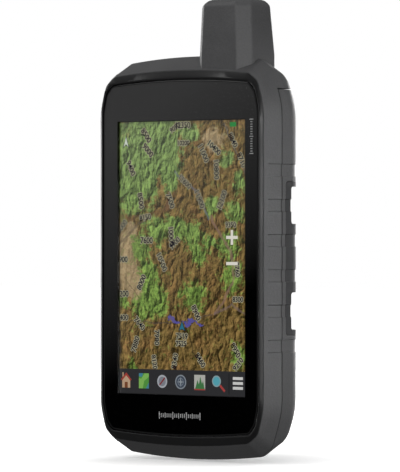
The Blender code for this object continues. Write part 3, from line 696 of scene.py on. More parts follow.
def side_matrix(at):
    """From the left wall's own frame (x towards the rear, y outwards, z up) to the layout."""
    towards_rear = Vector((-math.sin(SIDE_LEAN), math.cos(SIDE_LEAN), 0.0))
    outwards = Vector((-math.cos(SIDE_LEAN), -math.sin(SIDE_LEAN), 0.0))
    turn = Matrix((towards_rear, outwards, Vector((0.0, 0.0, 1.0)))).transposed()
    return Matrix.Translation(SIDE_MID + at[0] * towards_rear + Vector((0.0, 0.0, at[1]))) @ turn.to_4x4()


def on_side(mesh, at):
    mesh.transform(side_matrix(at))
    bmesh.ops.recalc_face_normals(mesh, faces=mesh.faces)
    return mesh


def side_slab(half_u, half_z, near, far, radius, steps=8):
    return prism(rounded_rectangle(half_u, half_z, radius, steps), near, far)


def body_solid():
    return loft([smooth_level(BODY_LEVELS, y, True) for y in FINE_DEPTHS])


def cavity_solid():
    return loft([level(y, w, h, corner) for y, w, h, corner, _ in CAVITY_LEVELS])


def door_level(depth, grow):
    return level(depth, DOOR_X + grow, DOOR_Z + grow, DOOR_CORNER)


def tower_outline(inset, taper):
    left, right, front, back = (inset + taper * side for side in TOWER_TAPER)
    x0, x1 = TOWER_X[0] + left, TOWER_X[1] - right
    y0, y1 = TOWER_Y[0] + front, TOWER_Y[1] - back
    c = max(TOWER_BEVEL - 0.4 * inset, 1.0)
    ends = [
        (x0 + c, y0), (x1 - c, y0), (x1, y0 + c), (x1, y1 - c),
        (x1 - c, y1), (x0 + c, y1), (x0, y1 - c), (x0, y0 + c),
    ]
    return rounded(ends, 1.6, 5)


def cap_inset(height):
    for (h0, i0), (h1, i1) in zip(TOWER_CAP, TOWER_CAP[1:]):
        if height <= h1 + 1e-6:
            return i0 + (i1 - i0) * (height - h0) / (h1 - h0)
    return TOWER_CAP[-1][1]


def tower_solid(inset=0.0, low=70.0, top=TOWER_TOP):
    shoulder = top - TOWER_CAP[-1][0]
    stages = [(low, 0.0, 0.0), (BODY_H, 0.0, 0.0)]
    heights = [0.0, 0.45, 0.9, 1.4, 1.9, 2.3, 2.7, 2.95, 3.1, 3.2]
    stages += [(shoulder + h, cap_inset(h), 1.0) for h in heights]
    loops = []
    for z, more, taper in stages:
        loops.append([Vector((p.x, p.y, z)) for p in tower_outline(inset + more, taper)])
    return loft(loops)


def make_front_shell():
    below_head = (UNDER, HEAD_PARTING + GAP / 2 + SEAM_MORE)
    mesh = cut(body_solid(), box((-FAR, FAR), (SEAM - SEAM_MORE, FAR), below_head))
    mesh = cut_each(
        join(mesh, tower_solid()),
        loft([level(y, *BEZEL_SEAT, RIM_CORNER) for y in (-5.0, LAND)]),
        prism(rounded_rectangle(*PICTURE_WINDOW), -5.0, 5.0),
        cavity_solid(),
        tower_solid(TOWER_WALL, 69.0, TOWER_TOP - TOWER_WALL),
    )
    pad = keep(on_side(side_slab(*CAP_PAD), CAP_AT), box((-FAR, 0), (LAND + 0.2, 7.3), (-FAR, -30)))
    hole = KEY_HALF[0] + GAP
    mesh = cut_each(
        join(mesh, pad),
        on_side(side_slab(hole, KEY_HALF[1] + GAP, -6.0, 3.0, hole - 0.01), KEY_AT),
        on_side(side_slab(KEY_FLANGE[0] + GAP, KEY_FLANGE[1] + GAP, -8.0, -2.8, 1.6), KEY_AT),
        on_side(side_slab(CAP_HALF[0] + GAP, CAP_HALF[1] + GAP, -1.7, 3.0, 1.5), CAP_AT),
        on_side(side_slab(*PORT_MOUTH), CAP_AT),
    )
    slot = rounded_rectangle(*SLOT_HALF, 0.49, 6)
    mesh = cut(mesh, *[prism(slot, 20.0, BEHIND, (x, SLOT_Z)) for x in SPEAKER_SLOTS])
    piece("front_shell", clean(mesh), FINISHES["housing_grey"],
          replaces=["front_housing"], bevel=SHELL_BEVEL)


def cutout(near, low, high, radius):
    """A gap in a rear corner as seen from the side, with rounded front corners."""
    corners = [(near, low), (FAR, low), (FAR, high), (near, high)]
    return rounded(corners, [radius, 0, 0, radius], 6)


def make_rear_shell():
    under_head = (UNDER, HEAD_PARTING - GAP / 2 - SEAM_MORE)
    mesh = keep(body_solid(), box((-FAR, FAR), (SEAM + GAP + SEAM_MORE, FAR), under_head))
    mesh = cut(mesh, keep(cavity_solid(), box((-FAR, FAR), (0, FAR), (UNDER, HEAD_PARTING - WALL))))
    tray = box((-BAY_X - 1.6, BAY_X + 1.6), (TRAY_FLOOR, 30.0), (-BAY_Z - 1.6, BAY_Z + 1.6))
    flange = loft([door_level(y, 1.4) for y in (26.6, 30.0)])
    blocks = [box((-11.5, 11.5), (22.0, 29.6), sorted((side * 44.0, side * 62.0))) for side in (-1, 1)]
    posts = [disc(spot, 3.6, TRAY_FLOOR, 29.3, 24) for spot in SCREW_PLACES]
    for part in (tray, flange, *blocks, *posts):
        mesh = join(mesh, part)
    mesh = cut(mesh, loft([door_level(y, GAP) for y in (LEDGE, BEHIND)]))
    mesh = cut(mesh, prism(rounded_rectangle(BAY_X, BAY_Z, 3.0), TRAY_FLOOR_TOP, BEHIND))
    locks = [(0.0, side * LOCK_Z) for side in (-1, 1)]
    mesh = cut(mesh, *[disc(spot, BOSS_RADIUS + GAP, BOSS_BACK - GAP, 31.0) for spot in locks])
    mesh = cut(mesh, *[disc(spot, 4.4, 23.4, 31.0, 32) for spot in locks])
    mesh = cut(mesh, *[disc(spot, 2.7, 14.0, BEHIND, 24) for spot in SCREW_PLACES])
    mesh = cut(mesh, *[disc(spot, 1.5, 5.0, BEHIND, 16) for spot in SCREW_PLACES])
    groove = prism(rounded_rectangle(BAY_X + 2.0, BAY_Z + 2.0, 4.0), LEDGE - 0.9, BEHIND)
    land = prism(rounded_rectangle(BAY_X + 0.8, BAY_Z + 0.8, 3.4), LEDGE - 2.0, 50.0)
    mesh = cut(mesh, cut(groove, land))
    window = cutout(STRIP_BACK, -RAIL_HALF - RAIL_GAP, RAIL_HALF + RAIL_GAP, 1.4)
    for side in (-1, 1):
        mesh = cut(mesh, cross_prism(window, *sorted((side * (RAIL_X - RAIL_GAP), side * FAR))))
    piece("rear_shell", clean(mesh), FINISHES["housing_grey"],
          replaces=["rear_housing"], bevel=SHELL_BEVEL)


def make_seam_painted_shade():
    """Dark strip in the parting seam, set back from the surface: painted shade that darkens the seam's gap.
    """
    near, far = SEAM - SEAM_MORE, SEAM + GAP + SEAM_MORE
    rings = ((near, 0.6), (far, 0.6), (far, 1.9), (near, 1.9))
    loops = [level(y, BODY_W - inset, BODY_H - inset) for y, inset in rings]
    mesh = keep(loft(loops, closed=True), box((-FAR, FAR), (0, 20), (UNDER, HEAD_PARTING - GAP)))
    # painted shade: a dark strip in the rubber finish, where the seam has only shadow
    piece("seam_painted_shade", clean(mesh), FINISHES["rubber"], sharp=40)


def make_rail(side_name, side):
    window = cutout(STRIP_BACK + RAIL_GAP, -RAIL_HALF, RAIL_HALF, 1.3)
    mesh = keep(body_solid(), cross_prism(window, *sorted((side * RAIL_X, side * FAR))))
    for up in (-1, 1):
        low, high = sorted((up * NOTCH_Z[0], up * NOTCH_Z[1]))
        notch = cutout(NOTCH_Y, low, high, 1.2)
        mesh = cut(mesh, cross_prism(notch, *sorted((side * NOTCH_X, side * FAR))))
    name = f"mount_rail_{side_name}"
    piece(f"rail_insert_{side_name}", clean(mesh), FINISHES["rail_grey"],
          replaces=[name], bevel=RAIL_BEVEL)


def make_bezel():
    inner = (
        (1.2, 40.25, 70.45), (FRONT + 0.3, 40.25, 70.45), (FRONT + 0.1, 40.31, 70.51),
        (FRONT, 40.45, 70.65), (FRONT, 40.75, 71.0), (FRONT + 0.05, 40.93, 71.3),
    )
    outer = (
        (FRONT + 0.15, 41.1, 71.6), (RIM - 0.12, 41.9, 73.75), (RIM - 0.02, 42.0, 73.97),
        (RIM + 0.08, 42.0, 74.0), (HOUSING_FRONT - 0.2, 42.0, 74.0),
        (HOUSING_FRONT - 0.2, 40.9, 72.9), (1.2, 40.9, 72.9),
    )
    loops = glass_loops(inner) + [level(*ring, RIM_CORNER) for ring in outer]
    piece("bezel_ring", loft(loops, closed=True), FINISHES["bezel_black"],
          replaces=["front_bezel"], sharp=50)


def glass_loops(rings):
    """Loops of the glass's outline from their depth, half width and half height."""
    return [level(*ring, GLASS_CORNER, GLASS_RADII) for ring in rings]


# ---------------------------------------------------------------- display


def black_gloss(name, emission=None):
    """Black behind polished glass: it shows what the surface mirrors, and the light of the display."""
    g = Graph(name)
    smear = g.noise(g.where, 38.0, 5.0, 0.6)
    dust = g.noise(g.where, 1200.0, 2.0, 0.5)
    shade = g.mix(g.span(dust, 0.55, 0.75), (0.0006, 0.0006, 0.0007), (0.0022, 0.0022, 0.0023))
    rough = g.span(smear, 0.35, 0.75, 0.033, 0.075)
    node = g.principled(Base_Color=shade, Roughness=rough, Specular_IOR_Level=0.5)
    if emission is not None:
        g.put(node.inputs["Emission Color"], emission(g) if callable(emission) else emission)
        node.inputs["Emission Strength"].default_value = 1.0
    return g.material


def make_glass():
    """The glass in three pieces: black-printed rim with a bevelled edge, clear pane, and border print."""
    rings = [
        (-0.35, 39.9, 70.0), (GLASS_FRONT + 0.3, 39.9, 70.0), (GLASS_FRONT + 0.1, 39.83, 69.93),
        (GLASS_FRONT, 39.65, 69.75), (GLASS_FRONT, 39.3, 69.4), (GLASS_FRONT, 38.95, 69.05),
        (GLASS_FRONT + 0.03, 38.95, 69.05), (-0.35, 38.95, 69.05),
    ]
    piece("glass_rim", loft(glass_loops(rings), closed=True), black_gloss("rim_print"),
          replaces=["touch_glass"], sharp=30)
    steps = ((-0.35, 38.9, 69.0), (GLASS_FRONT + 0.01, 38.9, 69.0), (GLASS_FRONT + 0.01, 38.0, 68.0))
    piece("glass_pane", loft(glass_loops(steps)), FINISHES["cover_glass"], sharp=30)
    print_loops = glass_loops([(y, 38.93, 69.03) for y in (GLASS_FRONT + 0.03, -0.05)])
    opening = prism(rounded_rectangle(SCREEN_X + 0.6, SCREEN_Z + 0.22, 0.25, 3), -3.0, 3.0, (0.38, 0.0))
    border = cut(loft(print_loops), opening)
    piece("border_print", border, black_gloss("border_print"), sharp=30)


make_front_shell()
make_rear_shell()
make_seam_painted_shade()
for side_name, side in (("left", -1), ("right", 1)):
    make_rail(side_name, side)
make_bezel()
make_glass()

# ---------------------------------------------------------------- the map on the display


def land_map(g):
    """A relief map lit from the upper left. Its relief is noise; its regions are placed at listed spots."""
    parts = g.axes(g.where)
    x = g.math("DIVIDE", g.minus(parts[0], CENTRE.x), MM)
    z = g.math("DIVIDE", g.minus(parts[2], CENTRE.z), MM)
    plane = g.add("ShaderNodeCombineXYZ", {0: x, 1: z, 2: 0.0}).outputs[0]

    def vector(operation, a, b):
        return g.add("ShaderNodeVectorMath", {0: a, 1: b}, operation=operation).outputs[0]

    def warped(by, scale, seed):
        """The map's plane, bent sideways by noise."""
        field = g.noise(vector("ADD", plane, (seed, -seed, seed)), scale, output="Color")
        shift = vector("SUBTRACT", field, (0.5, 0.5, 0.5))
        scaled = g.add("ShaderNodeVectorMath", {0: shift, 3: by}, operation="SCALE").outputs[0]
        return vector("ADD", plane, scaled)

    folds = warped(6.0, 0.09, 3.0)

    def relief(offset):
        """Ground height: ridges that branch, with fine gullies down their flanks."""
        at = vector("ADD", folds, offset)
        broad = g.noise(at, 0.13, 2.0, 0.5)
        spurs = g.noise(g.moved(at, scale=(1.2, 0.7, 1), turn=(0, 0, 0.35)), 0.15, 1.5, 0.5)
        spurs = g.size(g.minus(spurs, 0.5))
        flanks = g.noise(g.moved(at, scale=(1.35, 0.7, 1), turn=(0, 0, -0.2)), 0.33, 2.0, 0.5)
        flanks = g.size(g.minus(flanks, 0.5))
        gullies = g.noise(at, 0.95, 3.0, 0.6)
        total = g.plus(g.times(broad, 8.0), g.times(spurs, -22.0))
        total = g.plus(total, g.times(flanks, -7.0))
        return g.plus(total, g.times(gullies, 2.2))

    slope = g.minus(relief((0.0, 0.0, 0.0)), relief((-0.36, 0.36, 0.0)))
    light = g.span(slope, -1.15, 1.0, 1.6, 0.2)

    edge = warped(9.0, 0.16, 11.0)

    def patch(cx, cz, reach, weight=1.0, tall=1.0):
        """A soft round region around a spot of the map."""
        away = g.moved(edge, offset=(-cx, -cz * tall, 0), scale=(1.0, tall, 1.0))
        distance = g.length(away)
        return g.span(distance, reach * 1.45, reach * 0.2, 0.0, weight, smooth=True)

    def region(patches):
        total = patch(*patches[0])
        for entry in patches[1:]:
            total = g.plus(total, patch(*entry))
        return total

    speckle = g.span(g.noise(folds, 0.42, 6.0, 0.7), 0.3, 0.7, -0.6, 0.6)
    woods = region([
        (-25, 44, 16), (-10, 47, 13), (-26, 26, 12), (-16, 36, 13), (6, 49, 4.5), (23, 39, 4.0),
        (30, 30, 4.5), (28, 18, 6), (15, 20, 4.5), (-5, 31, 5), (-14, 11, 6), (-4, 12, 6), (6, 9, 6),
        (-22, 4, 6), (-18, -6, 6), (-14, -13, 6), (-20, -20, 6.5), (-11, -19, 5), (6, -15, 7), (9, 1, 4),
        (24, 5, 6), (26, -7, 7), (-31, -17, 3.5), (29, -39, 5), (15, 6, 4), (-25, -43, 3),
    ])
    bare = region([(-11, 30, 3.0, 0.8, 0.6), (-20, 23, 3.5, 0.6), (-15, 40, 2.5, 0.4)])
    growth = g.minus(g.plus(woods, speckle), bare)
    wooded = g.span(growth, 0.15, 0.8, smooth=True)
    plain = region([
        (-29, 4, 9), (-28, -7, 8, 0.9), (-23, -14, 5, 0.7), (16, 46, 7, 0.9),
        (-26, 11, 4, 0.7), (-24, -12, 5, 0.6),
    ])
    open_ground = g.span(g.plus(plain, g.times(speckle, 0.5)), 0.35, 0.8, smooth=True)

    tone = g.noise(folds, 0.55, 6.0, 0.68)
    fine = g.noise(plane, 2.6, 4.0, 0.75)
    leaf = g.mix(g.span(tone, 0.32, 0.68), srgb(74, 100, 42), srgb(128, 156, 74))
    high = g.span(z, -5.0, 45.0)
    leaf = g.mix(g.times(high, 0.5), leaf, srgb(116, 136, 88))
    earth = g.mix(g.span(tone, 0.32, 0.68), srgb(84, 70, 36), srgb(130, 106, 62))
    rust = g.noise(vector("ADD", plane, (40.0, 9.0, 0.0)), 0.1, 3.0, 0.5)
    earth = g.mix(g.span(rust, 0.5, 0.7, 0.0, 0.35), earth, srgb(142, 100, 64))
    sand = g.mix(g.span(tone, 0.3, 0.7), srgb(132, 112, 80), srgb(168, 148, 112))
    ground = g.mix(open_ground, earth, sand)
    ground = g.mix(wooded, ground, leaf)
    lit = g.times(light, g.span(fine, 0.25, 0.75, 0.72, 1.26))
    gentle = g.plus(g.times(lit, 0.35), 0.66)
    shading = g.mix(open_ground, lit, gentle)
    ground = g.mix(1.0, ground, shading, "MULTIPLY")

    wander = warped(3.0, 0.22, 21.0)

    def line(points, width):
        """1 on a crooked line through points, 0 away from it."""
        best = None
        for (x0, z0), (x1, z1) in zip(points, points[1:]):
            length = math.hypot(x1 - x0, z1 - z0)
            turn = -math.atan2(z1 - z0, x1 - x0)
            middle = vector("SUBTRACT", wander, ((x0 + x1) / 2, (z0 + z1) / 2, 0))
            split = g.axes(g.moved(middle, turn=(0, 0, turn)))
            along = g.math("LESS_THAN", g.size(split[0]), length / 2 + width * 0.5)
            across = g.span(g.size(split[1]), width, width * 0.3, 0.0, 1.0, smooth=True)
            found = g.times(along, across)
            best = found if best is None else g.math("MAXIMUM", best, found)
        return best

    for points, width, colour, share in MAP_LINES:
        ground = g.mix(g.times(line(points, width), share), ground, srgb(*colour))
    threads = g.noise(g.moved(wander, scale=(1.3, 0.6, 1)), 0.14, 2.0, 0.5)
    thread = g.span(g.size(g.minus(threads, 0.5)), 0.008, 0.0, 0.0, 0.4, smooth=True)
    ground = g.mix(thread, ground, srgb(58, 52, 40))
    water = region([(-4.0, -24.0, 2.2, 1.0, 1.3), (-2.0, -25.4, 2.2, 1.0, 2.0), (3.6, -25.2, 2.6, 1.0, 2.2),
        (8.6, -25.6, 2.4, 1.0, 2.4)])
    wet = g.span(g.plus(water, g.times(speckle, 0.7)), 0.45, 0.75, smooth=True)
    ground = g.mix(wet, ground, g.mix(g.span(tone, 0.4, 0.6), srgb(76, 74, 150), srgb(92, 84, 132)))
    rim = g.span(g.size(x), SCREEN_X - 1.1, SCREEN_X, 1.0, 0.55)
    rim = g.times(rim, g.span(z, SCREEN_Z - 1.2, SCREEN_Z, 1.0, 0.6))
    return g.mix(1.0, ground, rim, "MULTIPLY")


MAP_LINES = (
    (((-33, 16), (-20, 16), (-7, 20)), 1.5, (98, 72, 46), 0.6),
    (((-33, 5), (-22, 14), (-17, 16)), 0.8, (84, 74, 58), 0.6),
    (((-8, 20), (-6, 26)), 1.3, (116, 86, 60), 0.55),
    (((15, 16), (25, 3), (27, -8), (22, -16), (17, -22)), 0.9, (128, 102, 88), 0.65),
    (((17, -22), (26, -18), (33, -22)), 0.7, (118, 100, 96), 0.5),
    (((-3, 34), (3, 30), (9, 25), (14, 15)), 0.7, (96, 98, 112), 0.6),
    (((22, 52), (29, 40), (33, 33)), 0.6, (96, 96, 92), 0.5),
    (((-21, -26), (-26, -40)), 0.4, (40, 34, 26), 0.6),
    (((-12, -27), (-13, -44)), 0.4, (40, 34, 26), 0.55),
    (((-1, -32), (-3, -45)), 0.4, (40, 34, 26), 0.55),
    (((4, -29), (6, -37), (12, -44)), 0.4, (40, 34, 26), 0.6),
    (((-26, -25), (-10, -26), (4, -25), (16, -22)), 0.35, (52, 50, 60), 0.5),
    (((-30, -8), (-22, -16), (-24, -24)), 0.3, (70, 56, 40), 0.5),
)


def glowing(name, colour, fleck):
    """A lit element of the display, with the faint pixel mottle of a screen."""
    g = Graph(name)
    mottle = g.noise(g.where, 1500.0, 2.0, 0.5)
    shade = g.mix(g.span(mottle, 0.3, 0.7, 0.0, fleck), colour, tuple(c * 0.5 for c in colour))
    g.glow(shade, 1.0)
    return g.material


def sheet(shape, depth, thick):
    """A thin slab in the display's plane from an outline in (x, z), its face towards the front."""
    return prism([Vector(p) for p in shape], depth, depth + thick)


def make_map():
    half_z = (SCREEN_Z - MENU_TOP) / 2
    mid_z = (SCREEN_Z + MENU_TOP) / 2
    mesh = prism(rounded_rectangle(SCREEN_X, half_z, 0.2, 2), PICTURE_Y, PICTURE_Y + 0.05, (0.0, mid_z))
    piece("map_view", mesh, black_gloss("map_picture", emission=land_map), sharp=30)


make_map()


def emit_plate(name, shapes, colour, depth):
    """Flat lit shapes of one colour, as one piece: each shape is an outline in (x, z)."""
    mesh = join_meshes([sheet(shape, depth, 0.015) for shape in shapes])
    piece(name, mesh, glowing(name, srgb(*colour), 0.12), sharp=30)


def oblong(x0, x1, z0, z1):
    return [(x0, z0), (x1, z0), (x1, z1), (x0, z1)]


def dot(cx, cz, radius, steps=28):
    return [(cx + p.x, cz + p.y) for p in circle(radius, steps)]


def band(cx, cz, radius, width, steps=32):
    """A ring-shaped stroke, as one closed outline."""
    angles = [math.radians(360.0 * i / steps) for i in range(steps + 1)]
    outer = [(cx + radius * math.cos(a), cz + radius * math.sin(a)) for a in angles]
    hole = radius - width
    inner = [(cx + hole * math.cos(a), cz + hole * math.sin(a)) for a in reversed(angles)]
    return outer + inner


def stroke(x0, z0, x1, z1, width):
    """A straight bar between two points."""
    length = math.hypot(x1 - x0, z1 - z0)
    nx, nz = -(z1 - z0) / length * width / 2, (x1 - x0) / length * width / 2
    return [(x0 + nx, z0 + nz), (x0 - nx, z0 - nz), (x1 - nx, z1 - nz), (x1 + nx, z1 + nz)]


def make_menu():
    face = rounded_rectangle(SCREEN_X, (MENU_TOP + SCREEN_Z) / 2, 0.1, 2)
    bar = prism(face, PICTURE_Y + LAYER, PICTURE_Y + 0.05, (0.0, (MENU_TOP - SCREEN_Z) / 2))
    piece("menu_bar", bar, black_gloss("menu_bar", emission=srgb(45, 45, 47)), sharp=30)
    first, second, third = (PICTURE_Y + LAYER * n for n in (2, 3, 4))
    z = MENU_Z
    emit_plate("menu_divider", [oblong(24.2, 24.5, -53.2, -45.0)], (24, 24, 26), first)
    lines = [oblong(26.3, 31.4, c - 0.55, c + 0.55) for c in (-46.9, -48.8, -50.7)]
    emit_plate("menu_lines", lines, (196, 196, 194), first)
    emit_plate("home_roof", [[
        (-31.7, z + 0.4), (-28.9, z + 3.2), (-26.1, z + 0.4), (-26.7, z - 0.1),
        (-28.9, z + 2.0), (-31.1, z - 0.1),
    ]], (150, 60, 52), second)
    emit_plate("home_walls", [
        [(-31.0, z - 2.9), (-26.8, z - 2.9), (-26.8, z + 0.1), (-28.9, z + 2.2), (-31.0, z + 0.1)],
        oblong(-30.9, -30.3, z + 1.4, z + 3.2),
    ], (176, 150, 124), first)
    emit_plate("home_door", [oblong(-29.7, -28.1, z - 2.9, z - 0.6)], (110, 66, 44), second)
    emit_plate("tile_ground", [oblong(-22.2, -17.0, z - 3.0, z + 3.0)], (78, 138, 62), first)
    emit_plate("tile_wood", [[
        (-22.2, z - 3.0), (-20.2, z - 3.0), (-19.4, z), (-17.0, z + 1.6), (-17.0, z + 3.0),
        (-19.2, z + 3.0), (-21.0, z + 0.8), (-22.2, z + 1.0),
    ]], (118, 168, 84), second)
    emit_plate("tile_lake", [[(-22.2, z + 1.8), (-20.6, z + 1.5), (-20.0, z + 3.0), (-22.2, z + 3.0)],
        [(-18.6, z - 3.0), (-17.0, z - 3.0), (-17.0, z - 0.6)]], (66, 122, 140), second)
    emit_plate("mark_disc", [dot(-10.0, z, 2.6)], (158, 162, 168), first)
    emit_plate("mark_face", [dot(-10.0, z, 1.9)], (118, 122, 130), second)
    emit_plate("mark_hand", [stroke(-11.4, z - 1.5, -8.6, z + 1.5, 0.6)], (120, 40, 44), third)
    emit_plate("compass_ring", [band(-0.4, z, 2.85, 0.5)], (124, 132, 140), first)
    emit_plate("compass_face", [dot(-0.4, z, 2.3)], (62, 70, 82), first)
    emit_plate("compass_rose", [[(-0.4, z + 2.2), (0.0, z), (-0.4, z - 2.2), (-0.8, z)],
        [(-2.4, z), (-0.4, z + 0.3), (1.6, z), (-0.4, z - 0.3)]], (136, 144, 150), second)
    emit_plate("compass_rings", [band(-0.4, z, 1.5, 0.22)], (120, 130, 142), third)
    emit_plate("picture_sky", [oblong(6.6, 12.2, z - 3.0, z + 3.0)], (168, 168, 162), first)
    emit_plate("picture_trees", [[
        (6.9, z - 2.9), (8.3, z + 1.0), (9.0, z - 0.8), (9.7, z + 2.4), (10.6, z - 0.6), (11.1, z + 0.9),
        (12.0, z - 2.9),
    ]], (62, 110, 66), second)
    emit_plate("picture_foot", [oblong(6.6, 12.2, z - 3.0, z - 2.5)], (146, 62, 58), third)
    emit_plate("finder_handle", [stroke(19.8, z - 0.9, 22.2, z - 3.2, 0.95)], (156, 62, 60), first)
    emit_plate("finder_ring", [band(18.0, z + 0.7, 2.25, 0.5)], (126, 148, 152), second)
    emit_plate("finder_lens", [dot(18.0, z + 0.7, 1.85)], (82, 154, 168), first)


def make_map_signs():
    first, second = PICTURE_Y + LAYER * 3, PICTURE_Y + LAYER * 4
    x, up, down = 25.85, 8.1, -2.1
    cross = [(x - 2.9, up - 0.62), (x - 0.62, up - 0.62), (x - 0.62, up - 2.9), (x + 0.62, up - 2.9),
        (x + 0.62, up - 0.62), (x + 2.9, up - 0.62), (x + 2.9, up + 0.62), (x + 0.62, up + 0.62),
        (x + 0.62, up + 2.9), (x - 0.62, up + 2.9), (x - 0.62, up + 0.62), (x - 2.9, up + 0.62)]
    emit_plate("zoom_in", [cross], (214, 210, 200), second)
    emit_plate("zoom_out", [oblong(x - 2.9, x + 2.9, down - 0.62, down + 0.62)], (214, 210, 200), second)
    for name, shape, colour, depth in (
        ("own_place_edge", [(-1.55, -28.9), (0.25, -24.5), (2.05, -28.9), (0.25, -28.1)], (20, 40, 60),
         first),
        ("own_place", [(-1.1, -28.5), (0.25, -25.2), (1.6, -28.5), (0.25, -27.9)], (44, 108, 128), second),
        ("north_edge", [(-30.6, 43.6), (-29.0, 48.8), (-27.2, 43.6), (-29.0, 44.8)], (60, 66, 50), first),
        ("north_arrow", [(-30.2, 44.1), (-29.0, 48.1), (-27.7, 44.1), (-29.0, 45.3)], (196, 204, 190),
         second),
    ):
        emit_plate(name, [shape], colour, depth)
    emit_plate("status_light", [rounded_box(24.8, 28.0, 51.3, 53.1, 0.4)], (48, 128, 66), second)


def rounded_box(x0, x1, z0, z1, radius):
    points = rounded_rectangle((x1 - x0) / 2, (z1 - z0) / 2, radius, 3)
    return [(p.x + (x0 + x1) / 2, p.y + (z0 + z1) / 2) for p in points]


# Heights written over the map: number, x, z, turn in degrees, size
HEIGHTS = (
    ("8500", -18.5, 48.5, -52, 2.9), ("9000", -17.6, 42.6, -45, 2.9), ("9400", -26.5, 35.6, -62, 2.9),
    ("12350", 0.5, 52.2, 0, 2.9), ("9050", -3.5, 51.3, 30, 2.4), ("10200", 0.9, 45.2, 0, 2.3),
    ("11000", 11.2, 41.2, -62, 2.9), ("10400", 16.6, 43.2, -38, 2.8), ("10800", 17.8, 34.8, -88, 2.9),
    ("11900", 9.2, 23.2, -64, 2.9), ("11600", 1.6, 30.0, -38, 2.7), ("12100", 20.8, 22.6, 66, 2.9),
    ("7500", -5.9, 22.6, -66, 2.9), ("8500", -21.4, 22.6, -80, 2.9), ("8150", -18.9, 15.9, 8, 2.7),
    ("8000", -31.0, 12.4, 48, 2.7), ("7600", -18.2, 6.8, 0, 2.9), ("10000", -5.4, 8.6, -86, 2.9),
    ("9900", -3.4, 5.8, 40, 2.6), ("10500", -10.4, -1.6, -62, 2.9), ("9350", 25.2, 12.9, 0, 2.4),
    ("8000", -20.8, -9.8, 62, 2.9), ("8200", -30.9, -14.5, 0, 2.9), ("7900", -31.2, -0.8, 0, 2.7),
    ("7400", -31.0, -24.0, 0, 2.7), ("8900", 7.4, -21.6, -62, 2.9), ("8760", 28.4, -4.4, -84, 2.6),
    ("8300", 28.8, -16.2, 0, 2.4), ("8840", 26.2, 46.0, -58, 2.8), ("8710", 30.6, 38.2, -64, 2.8),
    ("7519", 0.2, -31.0, 0, 2.7), ("7525", -0.2, -33.9, 0, 2.5), ("7640", -22.0, -26.2, -44, 2.8),
    ("7880", -24.0, -34.4, 70, 2.9), ("7980", -12.9, -31.6, -90, 2.7), ("8120", -14.2, -41.4, -80, 2.6),
    ("8340", -3.4, -40.8, 78, 2.8), ("8460", 9.6, -40.2, -52, 2.8), ("8950", 27.6, -36.0, -56, 2.8),
    ("9210", 29.0, -41.4, 48, 2.7),
)


def make_heights():
    """The numbers with their pale halos, each set joined into one piece."""
    edge = 0.1
    for label, grow, depth, colour in (
        ("height_halos", 0.62, PICTURE_Y + LAYER * 1.0, (156, 152, 128)),
        ("height_numbers", 0.12, PICTURE_Y + LAYER * 2.0, (16, 16, 30)),
    ):
        whole = bmesh.new()
        for number, x, z, turn, size in HEIGHTS:
            curve = bpy.data.curves.new("number", "FONT")
            curve.body = number
            curve.size = size * 1.18
            curve.align_x = "CENTER"
            curve.align_y = "CENTER"
            curve.resolution_u = 2
            curve.offset = grow * 0.5
            curve.space_character = 0.94
            text = placed("number", curve)
            bpy.context.view_layer.update()
            graph = bpy.context.evaluated_depsgraph_get()
            drawn = bpy.data.meshes.new_from_object(text.evaluated_get(graph))
            lay = Matrix.Translation((x, depth, z)) @ Matrix.Rotation(math.radians(90), 4, "X")
            drawn.transform(lay @ Matrix.Rotation(math.radians(turn), 4, "Z"))
            whole.from_mesh(drawn)
            bpy.data.objects.remove(text)
            bpy.data.curves.remove(curve)
            bpy.data.meshes.remove(drawn)
        for v in whole.verts:
            v.co.x = max(-SCREEN_X + edge, min(SCREEN_X - edge, v.co.x))
            v.co.z = max(MENU_TOP + edge, min(SCREEN_Z - edge, v.co.z))
        extra = bmesh.ops.extrude_face_region(whole, geom=whole.faces[:])
        for v in (e for e in extra["geom"] if isinstance(e, bmesh.types.BMVert)):
            v.co.y += 0.012
        piece(label, whole, glowing(label, srgb(*colour), 0.15))


def make_print_marks():
    """Plain tick scales printed on the glass, below the display and up its right edge."""
    lower_ticks, side_ticks = [], []
    for i in range(22):
        tall = 2.9 if i % 7 == 0 else (1.5 if i % 7 != 3 else 2.1)
        lower_ticks.append(oblong(-10.5 + i - 0.21, -10.5 + i + 0.21, -62.2 - tall / 2, -62.2 + tall / 2))
    for i in range(15):
        wide = 1.9 if i % 7 == 0 else 1.1
        low_z, high_z = 54.0 - i * 0.95 - 0.17, 54.0 - i * 0.95 + 0.17
        side_ticks.append(oblong(36.6 - wide / 2, 36.6 + wide / 2, low_z, high_z))
    for name, shapes, tone in (("lower_scale", lower_ticks, 196), ("side_scale", side_ticks, 176)):
        g = Graph(name)
        wear = g.noise(g.where, 2500.0, 3.0, 0.6)
        worn = tone - 40
        shade = g.mix(g.span(wear, 0.35, 0.75), srgb(tone, tone, tone), srgb(worn, worn, worn))
        g.principled(Base_Color=shade, Roughness=0.4, Specular_IOR_Level=0.3)
        mesh = join_meshes([sheet(shape, GLASS_FRONT + 0.016, 0.012) for shape in shapes])
        piece(name, mesh, g.material, sharp=30)


make_menu()
make_map_signs()
make_heights()
make_print_marks()

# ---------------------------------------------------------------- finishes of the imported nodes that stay

EDGES = {
    "battery_door": 0.25, "lock_stud_top": 0.2, "lock_stud_bottom": 0.2, "lock_ring_top": 0.3,
    "lock_ring_bottom": 0.3, "power_key": 0.3, "data_port_cap": 0.25, "data_port": 0.1,
    "battery_pack": 0.2, "main_board": 0.08,
    "housing_screw_1": 0.1, "housing_screw_2": 0.1, "housing_screw_3": 0.1, "housing_screw_4": 0.1,
    "processor_shield": 0.2, "receiver_shield": 0.2, "charger_shield": 0.2, "mid_frame": 0.2, "speaker": 0.2,
}

for name, obj in frame["nodes"].items():
    wanted = node_slot(name)
    if wanted:
        for material_slot in obj.material_slots:
            material_slot.material = FINISHES[wanted]
    if name in EDGES:
        soften(obj, EDGES[name])

